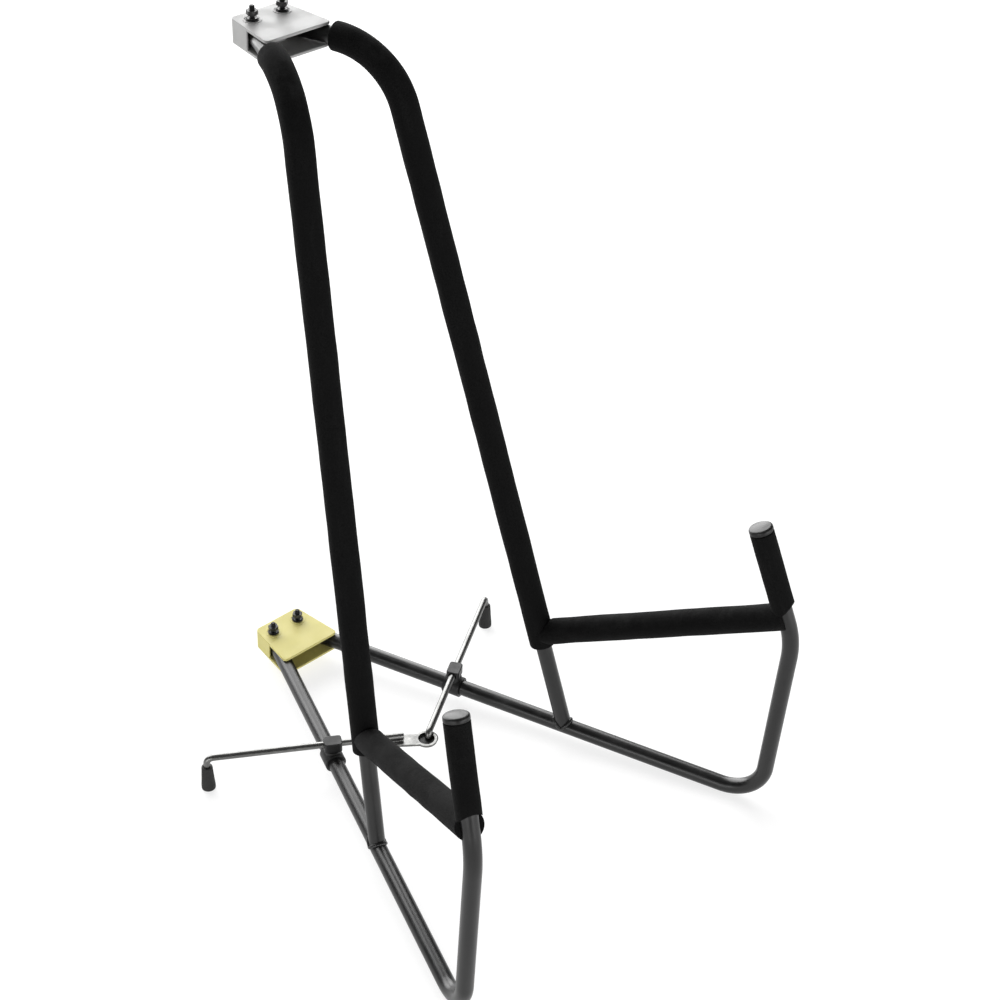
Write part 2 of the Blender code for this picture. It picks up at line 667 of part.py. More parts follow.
def add_pin_cap(swivel):
    """The push-on cap that keeps the right wire's pin in the eye."""
    high = eye_low() - GAP
    low = high - CAP_THICKNESS
    profile = [(WIRE_ROOM, low), (CAP_RADIUS, low), (CAP_RADIUS, high), (WIRE_ROOM, high)]
    place = Matrix.Translation((-PIVOT_RADIUS, 0, 0))
    add_piece("right_pin_cap", turned(profile), "black_steel", swivel, place)


# ---- The stand ----------------------------------------------------------------------------------


def clear_scene():
    for obj in list(bpy.data.objects):
        bpy.data.objects.remove(obj, do_unlink=True)


def centre_on_origin(stand):
    """Puts the origin on the floor, under the middle of the stand's depth."""
    bpy.context.view_layer.update()
    graph = bpy.context.evaluated_depsgraph_get()
    depths = []
    for obj in bpy.context.scene.objects:
        if obj.type != "MESH" or obj.hide_render:
            continue
        made = obj.evaluated_get(graph)
        depths += [(made.matrix_world @ vert.co).y for vert in made.data.vertices]
    stand.location = (0, -(min(depths) + max(depths)) / 2, -FLOOR)


def build():
    clear_scene()
    stand = add_axis("stand", None, STAND_LEAN)
    for level, height, finish in (("lower", 0, "yellow_plastic"), ("upper", HINGE_SPAN, "white_plastic")):
        yoke_axes = add_axis(f"{level}_yoke_axes", stand, Matrix.Translation((0, 0, height)))
        add_yoke(level, finish, yoke_axes)
        for side in ("left", "right"):
            add_hinge_bolt(level, side, yoke_axes)
    for side in ("left", "right"):
        frame = add_axis(f"{side}_hinge_axis", stand, frame_place(side))
        add_tubes(side, frame)
        add_pads(side, frame)
        add_hook_plug(side, frame)
        add_collar(side, frame)
        swivel = add_axis(f"{side}_swivel_axis", frame, wire_place(side))
        add_swivel_block(side, swivel)
        add_wire(side, swivel)
        if side == "left":
            add_eye_plate(swivel)
        else:
            add_pin_cap(swivel)
    centre_on_origin(stand)


build()
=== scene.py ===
"""Folding guitar stand: its finished look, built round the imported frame, with a plain studio.

Two bent-tube side frames hinge in two yokes. Foam sleeves cover the back, arm and hook of each frame, and
a two-legged wire spreads behind them. Metres, +Z up, the front towards -Y.
"""

import json
import math

import bmesh
import bpy
from mathutils import Matrix, Vector, noise


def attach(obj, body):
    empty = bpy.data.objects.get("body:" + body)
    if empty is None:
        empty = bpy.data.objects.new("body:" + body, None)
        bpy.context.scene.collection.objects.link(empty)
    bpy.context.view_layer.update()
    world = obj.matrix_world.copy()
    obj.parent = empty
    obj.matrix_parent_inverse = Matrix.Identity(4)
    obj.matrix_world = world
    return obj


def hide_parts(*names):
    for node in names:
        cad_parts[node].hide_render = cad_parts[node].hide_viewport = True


MM = 0.001

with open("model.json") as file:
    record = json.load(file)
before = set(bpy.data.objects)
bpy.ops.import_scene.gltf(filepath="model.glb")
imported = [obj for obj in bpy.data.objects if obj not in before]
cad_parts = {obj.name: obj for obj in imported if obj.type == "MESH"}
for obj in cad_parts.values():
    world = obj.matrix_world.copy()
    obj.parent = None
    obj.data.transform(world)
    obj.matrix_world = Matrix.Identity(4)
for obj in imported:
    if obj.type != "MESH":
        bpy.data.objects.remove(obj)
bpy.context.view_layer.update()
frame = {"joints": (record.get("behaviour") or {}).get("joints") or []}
JOINTS = {joint["name"]: joint for joint in frame["joints"]}

# How the stand is set up
SPREAD = math.radians(20.3)
LEAN = math.radians(2.0)
PIVOT_HALF = 9.7 * MM

# Side frame, in its own plane
BASE_LENGTH = 315.0 * MM
LEG_LEAN = 3.5 * MM
LEG_HEIGHT = 123.4 * MM
HOOK_LEAN = 26.8 * MM
HOOK_RISE = 65.9 * MM
BACK_FOOT_AHEAD = 188.5 * MM
BACK_TOP_AHEAD = 63.0 * MM
HINGE_SPAN = 411.0 * MM
ARM_REAR_HEIGHT = 66.6 * MM
ARM_FRONT_HEIGHT = 138.4 * MM
CORNER_BEND = 25.0 * MM
LEG_BEND = 60.0 * MM
TOP_BEND = 42.0 * MM

# Tubes, foam sleeves and hook caps
TUBE_RADIUS = 4.75 * MM
TUBE_BORE = 3.55 * MM
TUBE_LIP = 0.3 * MM
TUBE_TAIL = 5.5 * MM
FOAM_WALL = 2.7 * MM
HOOK_FOAM_WALL = 1.7 * MM
FOAM_BORE = 5.0 * MM
FOAM_LIP = 0.8 * MM
BACK_FOAM_OFF_YOKE = 5.0 * MM
BACK_FOAM_BELOW_ARM = 8.0 * MM
CAP_HEAD = 3.2 * MM
CAP_EDGE = 1.4 * MM
CAP_CROWN = 0.35 * MM
CAP_STEM = 11.0 * MM

# Yokes and hinge bolts
YOKE_PLATE = 1.6 * MM
YOKE_WALL = 1.8 * MM
YOKE_REAR_ROOM = 0.9 * MM
YOKE_FRONT = 26.0 * MM
YOKE_SIDE_WALL = 2.05 * MM
YOKE_FRONT_HALF = 21.3 * MM
YOKE_WALL_END = 7.0 * MM
YOKE_RIB_END = 9.0 * MM
YOKE_CORNER = 3.0 * MM
YOKE_EDGE = 0.45 * MM
BROAD_FACE = 40.0 * MM * MM
AMBIENT = 0.12
BACKDROP = 1.0
SEAT_RADIUS = 5.0 * MM
SEAT_BORE = 4.1 * MM
SEAT_RISE = 0.25 * MM
BOLT_RADIUS = 1.5 * MM
THREAD_PITCH = 0.5 * MM
THREAD_DEPTH = 0.25 * MM
THREAD_LENGTH = 8.4 * MM
HEX_FLATS = 5.5 * MM
HEX_CHAMFER = 0.3 * MM
BOLT_HEAD = 2.2 * MM
BOLT_OVER_NUT = 3.4 * MM
NUT_HEIGHT = 3.4 * MM
NUT_COLLAR = 1.3 * MM
WASHER_RADIUS = 3.5 * MM
WASHER_THICKNESS = 0.5 * MM

# Wire legs
WIRE_RADIUS = 2.0 * MM
SWIVEL_AHEAD = 112.9 * MM
WIRE_SPLAY = math.radians(58.3)
WIRE_OUTER = 74.4 * MM
WIRE_BEND = 4.0 * MM
COLLAR_WALL = 1.25 * MM
COLLAR_LENGTH = 11.0 * MM
BOSS_RADIUS = 4.6 * MM
BOSS_RISE = 1.0 * MM
BLOCK_LENGTH = 10.6 * MM
BLOCK_WIDTH = 8.2 * MM
BLOCK_FLOOR = 1.4 * MM
BLOCK_ROOF = 0.6 * MM
BLOCK_CORNER = 1.6 * MM
TIP_HEIGHT = 17.0 * MM
TIP_FOOT_RADIUS = 4.2 * MM
TIP_WALL = 0.95 * MM
TIP_FLOOR = 3.0 * MM
EYE_PLATE = 1.5 * MM
EYE_RIM = 1.7 * MM
EYE_TAIL_HALF = 4.6 * MM
EYE_TAIL = 26.0 * MM
LEFT_WIRE_STOP = 15.0 * MM
PIN_BEND = 3.2 * MM
PIN_OVER_CAP = 0.4 * MM
PIN_CAP_RADIUS = 6.0 * MM
PIN_CAP_THICKNESS = 1.5 * MM

# Fits and fineness
GAP = 0.3 * MM
PAST = 2.0 * MM
END_PAST = 24.0 * MM
SIDES = 48
SMALL_SIDES = 32
ARC_STEP = math.radians(2.5)
FILLET_STEP = math.radians(18)
SMOOTH_UNDER = math.radians(38)
FOLD_STEPS = 40

# What follows from them
YOKE_GAP_HALF = TUBE_RADIUS + GAP
YOKE_HALF_HEIGHT = YOKE_GAP_HALF + YOKE_PLATE
YOKE_REAR_INNER = TUBE_TAIL * math.cos(SPREAD) + TUBE_RADIUS * math.sin(SPREAD) + YOKE_REAR_ROOM
YOKE_REAR = YOKE_REAR_INNER + YOKE_WALL
YOKE_REAR_HALF = PIVOT_HALF + YOKE_GAP_HALF + YOKE_SIDE_WALL
FOAM_RADIUS = TUBE_RADIUS + GAP + FOAM_WALL
HOOK_FOAM_RADIUS = TUBE_RADIUS + GAP + HOOK_FOAM_WALL
BACK_FOAM_START = YOKE_FRONT + BACK_FOAM_OFF_YOKE
COLLAR_RADIUS = TUBE_RADIUS + GAP + COLLAR_WALL
BOSS_TOP = COLLAR_RADIUS + BOSS_RISE
WIRE_ROOM = WIRE_RADIUS + GAP
WIRE_HEIGHT = BOSS_TOP + GAP + BLOCK_FLOOR + WIRE_ROOM
BLOCK_HEIGHT = BLOCK_FLOOR + 2 * WIRE_ROOM + BLOCK_ROOF
TIP_TOP_RADIUS = WIRE_ROOM + TIP_WALL
PIVOT_RADIUS = (PIVOT_HALF + SWIVEL_AHEAD * math.sin(SPREAD)) / math.sin(WIRE_SPLAY)
WIRE_SPLAY_FOLDED = math.asin(PIVOT_HALF / PIVOT_RADIUS)
EYE_LOW = WIRE_HEIGHT - WIRE_RADIUS - GAP - EYE_PLATE


# ---- Places -----------------------------------------------------------------------------------


def in_frame(ahead, height):
    """A point in a side frame's own plane, from its hinge axis at base-tube height."""
    return Vector((0, -ahead, height))


FRONT_CORNER = in_frame(BASE_LENGTH, 0)
LEG_TOP = in_frame(BASE_LENGTH + LEG_LEAN, LEG_HEIGHT)
HOOK_TIP = LEG_TOP + Vector((0, HOOK_LEAN, HOOK_RISE))
BACK_FOOT = in_frame(BACK_FOOT_AHEAD, 0)
BACK_TOP = in_frame(BACK_TOP_AHEAD, HINGE_SPAN)
TOP_HINGE = in_frame(0, HINGE_SPAN)
TAIL = Vector((0, TUBE_TAIL, 0))


def at_height(low, high, height):
    return low.lerp(high, (height - low.z) / (high.z - low.z))


ARM_REAR = at_height(BACK_FOOT, BACK_TOP, ARM_REAR_HEIGHT)
ARM_FRONT = at_height(LEG_TOP, HOOK_TIP, ARM_FRONT_HEIGHT)


def side_sign(side):
    return -1 if side == "left" else 1


def stand_place():
    """From the stand's upright axes to the row frame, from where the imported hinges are."""
    left, right = (Vector(JOINTS[name]["pos_m"]) for name in ("left_fold", "right_fold"))
    return Matrix.Translation((left + right) / 2) @ Matrix.Rotation(LEAN, 4, "X")


STAND = stand_place()


def frame_place(side):
    sign = side_sign(side)
    hinge = Matrix.Translation((sign * PIVOT_HALF, 0, 0)) @ Matrix.Rotation(sign * SPREAD, 4, "Z")
    return STAND @ hinge


def wire_place(side):
    """From a wire leg's own axes: local +X runs outwards along the wire."""
    turn = math.pi / 2 - side_sign(side) * (WIRE_SPLAY + SPREAD)
    return frame_place(side) @ Matrix.Translation((0, -SWIVEL_AHEAD, 0)) @ Matrix.Rotation(turn, 4, "Z")


def yoke_place(level):
    return STAND @ Matrix.Translation((0, 0, 0 if level == "lower" else HINGE_SPAN))


def upright_at(point, heading):
    """A place at the point, with local +Z along the heading."""
    turn = Vector((0, 0, 1)).rotation_difference(heading)
    return Matrix.Translation(point) @ turn.to_matrix().to_4x4()


def rounded_path(corners, radii, arc_step=ARC_STEP):
    """The line through the corners, with each inner corner rounded to its radius."""
    path = [corners[0]]
    for before, corner, after, radius in zip(corners, corners[1:], corners[2:], radii):
        back = (before - corner).normalized()
        onward = (after - corner).normalized()
        turn = math.pi - back.angle(onward)
        if radius == 0 or turn < 0.01:
            path.append(corner)
            continue
        centre = corner + (back + onward).normalized() * (radius / math.cos(turn / 2))
        start = corner + back * (radius * math.tan(turn / 2)) - centre
        axis = back.cross(start)
        steps = math.ceil(turn / arc_step)
        for step in range(steps + 1):
            path.append(centre + Matrix.Rotation(turn * step / steps, 3, axis) @ start)
    path.append(corners[-1])
    return path


def divided(path, longest):
    """The same line with no run longer than this."""
    points = [path[0]]
    for before, after in zip(path, path[1:]):
        runs = max(1, math.ceil((after - before).length / longest))
        points += [before.lerp(after, run / runs) for run in range(1, runs + 1)]
    return points


FRAME_PATH = rounded_path([TAIL, FRONT_CORNER, LEG_TOP, HOOK_TIP], [CORNER_BEND, LEG_BEND])
BACK_PATH = rounded_path([BACK_FOOT, BACK_TOP, TOP_HINGE + TAIL], [TOP_BEND])


# ---- Shapes -----------------------------------------------------------------------------------


def stations(path, radius):
    """(point, heading, radius) all along a path."""
    runs = [(after - before).normalized() for before, after in zip(path, path[1:])]
    headings = [runs[0]] + [(a + b).normalized() for a, b in zip(runs, runs[1:])] + [runs[-1]]
    return [(point, heading, radius) for point, heading in zip(path, headings)]


def swept(rings, sides=SIDES):
    """A round skin through the rings, each a (point, heading, radius). Its UVs are the share of the way
    round, and the metres along."""
    point, heading, radius = rings[0]
    turn = Vector((0, 0, 1)).rotation_difference(heading)
    place = Matrix.Translation(point) @ turn.to_matrix().to_4x4() @ Matrix.Scale(radius, 4)
    bm = bmesh.new()
    bmesh.ops.create_circle(bm, segments=sides, radius=1, matrix=place)
    around = bm.verts.layers.float.new("around")
    along = bm.verts.layers.float.new("along")
    bm.verts.ensure_lookup_table()
    for index, vert in enumerate(bm.verts):
        vert[around] = index / sides
    ring = bm.edges[:]
    done = 0
    for (last_point, last_heading, last_radius), (point, heading, radius) in zip(rings, rings[1:]):
        turn = last_heading.rotation_difference(heading) @ turn
        next_place = Matrix.Translation(point) @ turn.to_matrix().to_4x4() @ Matrix.Scale(radius, 4)
        done += (point - last_point).length + abs(radius - last_radius)
        made = bmesh.ops.extrude_edge_only(bm, edges=ring)["geom"]
        ring = [item for item in made if isinstance(item, bmesh.types.BMEdge)]
        verts = [item for item in made if isinstance(item, bmesh.types.BMVert)]
        bmesh.ops.transform(bm, matrix=next_place @ place.inverted(), verts=verts)
        for vert in verts:
            vert[along] = done
        place = next_place
    sheet = bm.loops.layers.uv.new("UVMap")
    for face in bm.faces:
        shares = [loop.vert[around] for loop in face.loops]
        wraps = max(shares) - min(shares) > 0.5
        for loop, share in zip(face.loops, shares):
            loop[sheet].uv = (share + 1 if wraps and share < 0.5 else share, loop.vert[along])
    return bm


def solid_rod(rings, sides=SIDES):
    bm = swept(rings, sides)
    bmesh.ops.holes_fill(bm, edges=[edge for edge in bm.edges if edge.is_boundary], sides=sides)
    return bm


def rod(start, end, radius, sides=SIDES):
    return solid_rod(stations([start, end], radius), sides)


def sleeve(path, outer, bore, lip, longest=None):
    """A tube or sleeve with a real bore, its rims rounded by the lip."""
    line = divided(path, longest) if longest else path
    run = stations(line, outer)
    rims = []
    for end, inward in ((0, 1), (-1, -1)):
        point, heading, _ = run[end]
        rim = [(point, heading, bore)]
        for step in range(5):
            angle = math.pi / 2 * step / 4
            set_back = point + heading * inward * lip * (1 - math.cos(angle))
            rim.append((set_back, heading, outer - lip * (1 - math.sin(angle))))
        rims.append(rim)
    inside = [ring for ring in run if lip < (ring[0] - line[0]).length and lip < (ring[0] - line[-1]).length]
    through = [(point, heading, bore) for point, heading, _ in stations(path, bore)]
    loop = rims[0] + inside + rims[1][::-1] + through[-2::-1]
    bm = swept(loop)
    bmesh.ops.remove_doubles(bm, verts=bm.verts, dist=0.001 * MM)
    return bm


def prism(outline, low, high):
    """The solid between two heights with this outline, a list of (x, y)."""
    bm = bmesh.new()
    face = bm.faces.new([bm.verts.new((x, y, low)) for x, y in outline])
    made = bmesh.ops.extrude_face_region(bm, geom=[face])["geom"]
    risen = [item for item in made if isinstance(item, bmesh.types.BMVert)]
    bmesh.ops.translate(bm, vec=(0, 0, high - low), verts=risen)
    return bm


def turned(corners, sides=SIDES):
    """A solid turned about Z. Each corner of its profile is (radius, height, rounding)."""
    points = [Vector((radius, 0, height)) for radius, height, _ in corners]
    profile = rounded_path(points, [rounding for _, _, rounding in corners[1:-1]], FILLET_STEP)
    bm = bmesh.new()
    verts = [bm.verts.new(point) for point in profile]
    edges = [bm.edges.new(pair) for pair in zip(verts, verts[1:])]
    bmesh.ops.spin(
        bm, geom=verts + edges, cent=(0, 0, 0), axis=(0, 0, 1), angle=2 * math.pi, steps=sides, use_merge=True
    )
    bmesh.ops.remove_doubles(bm, verts=bm.verts, dist=0.001 * MM)
    return bm


def circle(radius, sides, centre=(0, 0)):
    angles = [2 * math.pi * index / sides for index in range(sides)]
    return [(centre[0] + radius * math.cos(a), centre[1] + radius * math.sin(a)) for a in angles]


def temporary(bm):
    bmesh.ops.recalc_face_normals(bm, faces=bm.faces)
    mesh = bpy.data.meshes.new("temporary")
    bm.to_mesh(mesh)
    bm.free()
    obj = bpy.data.objects.new("temporary", mesh)
    bpy.context.scene.collection.objects.link(obj)
    return obj


def carved(bm, *steps):
    """The shape after each (operation, other shape) in turn."""
    body = temporary(bm)
    others = []
    for operation, other in steps:
        tool = temporary(other)
        others.append(tool)
        boolean = body.modifiers.new("step", "BOOLEAN")
        boolean.operation = operation
        boolean.object = tool
        boolean.solver = "EXACT"
    graph = bpy.context.evaluated_depsgraph_get()
    result = bmesh.new()
    result.from_mesh(bpy.data.meshes.new_from_object(body.evaluated_get(graph)))
    for obj in [body] + others:
        bpy.data.objects.remove(obj, do_unlink=True)
    bmesh.ops.remove_doubles(result, verts=result.verts, dist=0.001 * MM)
    return result


def bevelled(bm, width, segments=3, over=math.radians(40), chosen=lambda edge: True):
    edges = [e for e in bm.edges if e.calc_face_angle(0) > over and chosen(e)]
    bmesh.ops.bevel(
        bm,
        geom=edges,
        offset=width,
        segments=segments,
        profile=0.5,
        affect="EDGES",
        material=-1,
        clamp_overlap=True,
    )
    return bm


def is_upright(edge):
    run = edge.verts[0].co - edge.verts[1].co
    return abs(run.z) > 0.9 * run.length


# ---- Node groups ------------------------------------------------------------------------------


def new_group(name, inputs, outputs):
    """An empty shader group. Sockets are (name, kind, first value)."""
    group = bpy.data.node_groups.new(name, "ShaderNodeTree")
    for socket, kind, value in inputs:
        made = group.interface.new_socket(name=socket, in_out="INPUT", socket_type=kind)
        if value is not None:
            made.default_value = value
    for socket, kind in outputs:
        group.interface.new_socket(name=socket, in_out="OUTPUT", socket_type=kind)
    return group, group.nodes.new("NodeGroupInput"), group.nodes.new("NodeGroupOutput")


class Tree:
    """Short ways to lay nodes in one node tree."""

    def __init__(self, tree):
        self.tree = tree

    def node(self, kind, settings=None, **sockets):
        node = self.tree.nodes.new(kind)
        for key, value in (settings or {}).items():
            setattr(node, key, value)
        for name, value in sockets.items():
            self.feed(node.inputs[name.replace("_", " ")], value)
        return node

    def feed(self, socket, value):
        if isinstance(value, bpy.types.NodeSocket):
            self.tree.links.new(value, socket)
        else:
            socket.default_value = value

    def math(self, operation, first, second=0.0):
        node = self.tree.nodes.new("ShaderNodeMath")
        node.operation = operation
        self.feed(node.inputs[0], first)
        self.feed(node.inputs[1], second)
        return node.outputs[0]

    def remap(self, value, low, high, to_low=0.0, to_high=1.0):
        node = self.tree.nodes.new("ShaderNodeMapRange")
        node.interpolation_type = "SMOOTHSTEP"
        names = ("Value", "From Min", "From Max", "To Min", "To Max")
        for name, given in zip(names, (value, low, high, to_low, to_high)):
            self.feed(node.inputs[name], given)
        return node.outputs["Result"]

    def noise(self, vector, scale, detail=2.0, roughness=0.5):
        node = self.tree.nodes.new("ShaderNodeTexNoise")
        self.feed(node.inputs["Vector"], vector)
        self.feed(node.inputs["Scale"], scale)
        node.inputs["Detail"].default_value = detail
        node.inputs["Roughness"].default_value = roughness
        return node.outputs["Fac"]

    def stretched(self, vector, scale):
        """The coordinates times a scale on each axis."""
        node = self.tree.nodes.new("ShaderNodeMapping")
        self.feed(node.inputs["Vector"], vector)
        node.inputs["Scale"].default_value = scale
        return node.outputs["Vector"]

    def mixed(self, share, first, second):
        node = self.tree.nodes.new("ShaderNodeMix")
        node.data_type = "RGBA"
        self.feed(node.inputs[0], share)
        self.feed(node.inputs[6], first)
        self.feed(node.inputs[7], second)
        return node.outputs[2]


def make_fine_grain():
    """Fine texture and broad unevenness, each with its own size in metres."""
    inputs = [
        ("Vector", "NodeSocketVector", None),
        ("Grain", "NodeSocketFloat", 0.0005),
        ("Patch", "NodeSocketFloat", 0.02),
    ]
    outputs = [("Height", "NodeSocketFloat"), ("Mottle", "NodeSocketFloat")]
    group, given, out = new_group("fine_grain", inputs, outputs)
    t = Tree(group)
    fine = t.noise(given.outputs["Vector"], t.math("DIVIDE", 1.0, given.outputs["Grain"]), 3.0, 0.6)
    broad = t.noise(given.outputs["Vector"], t.math("DIVIDE", 1.0, given.outputs["Patch"]), 4.0, 0.55)
    t.feed(out.inputs["Height"], fine)
    t.feed(out.inputs["Mottle"], t.remap(broad, 0.35, 0.65))
    return group


def make_edge_wear_and_hollow_shade():
    """Where outward edges have rubbed, broken up by patches, and a mask of the concave corners for painted shade.
    """
    inputs = [("Vector", "NodeSocketVector", None), ("Reach", "NodeSocketFloat", 0.54)]
    outputs = [("Wear", "NodeSocketFloat"), ("Hollow Shade", "NodeSocketFloat")]
    group, given, out = new_group("edge_wear_and_hollow_shade", inputs, outputs)
    t = Tree(group)
    bend = t.node("ShaderNodeNewGeometry").outputs["Pointiness"]
    rub = t.noise(given.outputs["Vector"], 420.0, 4.0, 0.65)
    edge = t.remap(bend, given.outputs["Reach"], t.math("ADD", given.outputs["Reach"], 0.06))
    t.feed(out.inputs["Wear"], t.math("MULTIPLY", edge, t.remap(rub, 0.38, 0.62)))
    # Concave corners, where shade falls: the mask for painted shade
    t.feed(out.inputs["Hollow Shade"], t.remap(bend, 0.48, 0.42))
    return group


def make_settled_dust():
    """Thin dust and lint on what faces up."""
    inputs = [("Vector", "NodeSocketVector", None), ("Amount", "NodeSocketFloat", 0.3)]
    group, given, out = new_group("settled_dust", inputs, [("Dust", "NodeSocketFloat")])
    t = Tree(group)
    normal = t.node("ShaderNodeNewGeometry").outputs["Normal"]
    split = t.node("ShaderNodeSeparateXYZ", Vector=normal)
    upward = t.remap(split.outputs["Z"], 0.1, 0.95)
    film = t.remap(t.noise(given.outputs["Vector"], 90.0, 5.0, 0.65), 0.42, 0.75)
    specks = t.remap(t.noise(given.outputs["Vector"], 1900.0, 2.0, 0.5), 0.66, 0.74)
    both = t.math("MAXIMUM", film, t.math("MULTIPLY", specks, 0.8))
    t.feed(out.inputs["Dust"], t.math("MULTIPLY", t.math("MULTIPLY", both, upward), given.outputs["Amount"]))
    return group


def make_unrolled():
    """Coordinates of a rod as if it were straight: round it in X and Y, along it in Z."""
    inputs = [("Radius", "NodeSocketFloat", 0.005)]
    group, given, out = new_group("unrolled", inputs, [("Vector", "NodeSocketVector")])
    t = Tree(group)
    split = t.node("ShaderNodeSeparateXYZ", Vector=t.node("ShaderNodeUVMap", {"uv_map": "UVMap"}).outputs["UV"])
    angle = t.math("MULTIPLY", split.outputs["X"], 2 * math.pi)
    across = t.math("MULTIPLY", t.math("COSINE", angle), given.outputs["Radius"])
    deep = t.math("MULTIPLY", t.math("SINE", angle), given.outputs["Radius"])
    joined = t.node("ShaderNodeCombineXYZ", X=across, Y=deep, Z=split.outputs["Y"])
    t.feed(out.inputs["Vector"], joined.outputs["Vector"])
    return group


FINE_GRAIN = make_fine_grain()
EDGE_WEAR_AND_HOLLOW_SHADE = make_edge_wear_and_hollow_shade()
SETTLED_DUST = make_settled_dust()
UNROLLED = make_unrolled()


# ---- Materials --------------------------------------------------------------------------------


class Finish:
    """One material with its shader and short ways to place the groups."""

    def __init__(self, name, **constants):
        self.material = bpy.data.materials.new(name)
        self.material.use_nodes = True
        self.tree = Tree(self.material.node_tree)
        self.shader = self.material.node_tree.nodes["Principled BSDF"]
        for key, value in constants.items():
            self.shader.inputs[key.replace("_", " ")].default_value = value
        self.place = self.tree.node("ShaderNodeTexCoord").outputs["Object"]

    def group(self, group, **sockets):
        return self.tree.node("ShaderNodeGroup", {"node_tree": group}, **sockets).outputs

    def unrolled(self, radius):
        return self.group(UNROLLED, Radius=radius)["Vector"]

    def colour(self, value):
        self.tree.feed(self.shader.inputs["Base Color"], value)

    def roughness(self, value):
        self.tree.feed(self.shader.inputs["Roughness"], value)

    def relief(self, height, distance, strength=1.0):
        bump = self.tree.node("ShaderNodeBump", Height=height, Distance=distance, Strength=strength)
        self.tree.feed(self.shader.inputs["Normal"], bump.outputs["Normal"])


def make_gloss_black():
    f = Finish("gloss_black_enamel", Specular_IOR_Level=0.42, IOR=1.5)
    t = f.tree
    along = f.unrolled(TUBE_RADIUS)
    grain = f.group(FINE_GRAIN, Vector=f.place, Grain=0.0016, Patch=0.018)
    dust = f.group(SETTLED_DUST, Vector=f.place, Amount=0.05)["Dust"]
    scratches = t.remap(t.noise(t.stretched(along, (2600.0, 2600.0, 120.0)), 1.0, 2.0, 0.6), 0.66, 0.72)
    base = t.mixed(grain["Mottle"], (0.0035, 0.0035, 0.0035, 1), (0.006, 0.006, 0.006, 1))
    scuffed = t.mixed(t.math("MULTIPLY", scratches, 0.15), base, (0.04, 0.04, 0.04, 1))
    f.colour(t.mixed(dust, scuffed, (0.26, 0.26, 0.26, 1)))
    rough = t.math("ADD", t.remap(grain["Mottle"], 0.0, 1.0, 0.3, 0.34), t.math("MULTIPLY", scratches, 0.06))
    f.roughness(t.math("ADD", rough, t.math("MULTIPLY", dust, 0.6)))
    f.relief(grain["Height"], 0.000004)
    return f.material


def make_foam_black():
    f = Finish("black_foam", Sheen_Weight=0.015, Sheen_Roughness=0.5, Specular_IOR_Level=0.07)
    t = f.tree
    grain = f.group(FINE_GRAIN, Vector=f.place, Grain=0.0009, Patch=0.022)
    dust = f.group(SETTLED_DUST, Vector=f.place, Amount=0.04)["Dust"]
    cells = t.node("ShaderNodeTexVoronoi", {"feature": "SMOOTH_F1"}, Vector=f.place, Scale=2300.0)
    pore = t.remap(cells.outputs["Distance"], 0.15, 0.75)
    rub = t.remap(t.noise(t.stretched(f.unrolled(FOAM_RADIUS), (180.0, 180.0, 26.0)), 1.0, 4.0, 0.6), 0.5, 0.75)
    base = t.mixed(grain["Mottle"], (0.0035, 0.0035, 0.0036, 1), (0.0065, 0.0065, 0.0065, 1))
    rubbed = t.mixed(t.math("MULTIPLY", rub, 0.4), base, (0.014, 0.014, 0.014, 1))
    open_cells = t.mixed(pore, rubbed, (0.002, 0.002, 0.002, 1))
    f.colour(t.mixed(dust, open_cells, (0.20, 0.20, 0.20, 1)))
    f.roughness(t.remap(grain["Mottle"], 0.0, 1.0, 0.82, 0.96))
    height = t.math("ADD", t.math("MULTIPLY", pore, -0.7), t.math("MULTIPLY", grain["Height"], 0.8))
    f.relief(height, 0.00012)
    return f.material


def make_moulded(name, light, dark, worn, hollow_shade, **constants):
    """Moulded plastic: fine spark texture, slight flow marks, rubbed edges and painted shade in the concave
    corners.
    """
    f = Finish(name, **constants)
    t = f.tree
    grain = f.group(FINE_GRAIN, Vector=f.place, Grain=0.0004, Patch=0.012)
    edges = f.group(EDGE_WEAR_AND_HOLLOW_SHADE, Vector=f.place, Reach=0.53)
    dust = f.group(SETTLED_DUST, Vector=f.place, Amount=0.04)["Dust"]
    flow = t.noise(t.stretched(f.place, (60.0, 220.0, 220.0)), 1.0, 3.0, 0.5)
    base = t.mixed(t.math("MULTIPLY", t.math("ADD", grain["Mottle"], flow), 0.5), light, dark)
    rubbed = t.mixed(t.math("MULTIPLY", edges["Wear"], 0.5), base, worn)
    # Painted shade: concave corners are darkened towards the shade colour
    hollow_shaded = t.mixed(t.math("MULTIPLY", edges["Hollow Shade"], 0.6), rubbed, hollow_shade)
    f.colour(t.mixed(dust, hollow_shaded, (0.38, 0.37, 0.36, 1)))
    satin = t.remap(grain["Mottle"], 0.0, 1.0, 0.36, 0.48)
    f.roughness(t.math("SUBTRACT", satin, t.math("MULTIPLY", edges["Wear"], 0.1)))
    f.relief(grain["Height"], 0.00002)
    return f.material


def make_steel(name, dark, light, bare, roughness, grain_size, metallic=1.0, **constants):
    """Fastener steel: blackened or plated, bare where it is handled."""
    f = Finish(name, Metallic=metallic, **constants)
    t = f.tree
    grain = f.group(FINE_GRAIN, Vector=f.place, Grain=grain_size, Patch=0.006)
    edges = f.group(EDGE_WEAR_AND_HOLLOW_SHADE, Vector=f.place, Reach=0.54)
    base = t.mixed(grain["Mottle"], dark, light)
    f.colour(t.mixed(edges["Wear"], base, bare))
    f.roughness(t.remap(grain["Height"], 0.3, 0.7, roughness - 0.06, roughness + 0.1))
    f.relief(grain["Height"], 0.000012)
    return f.material


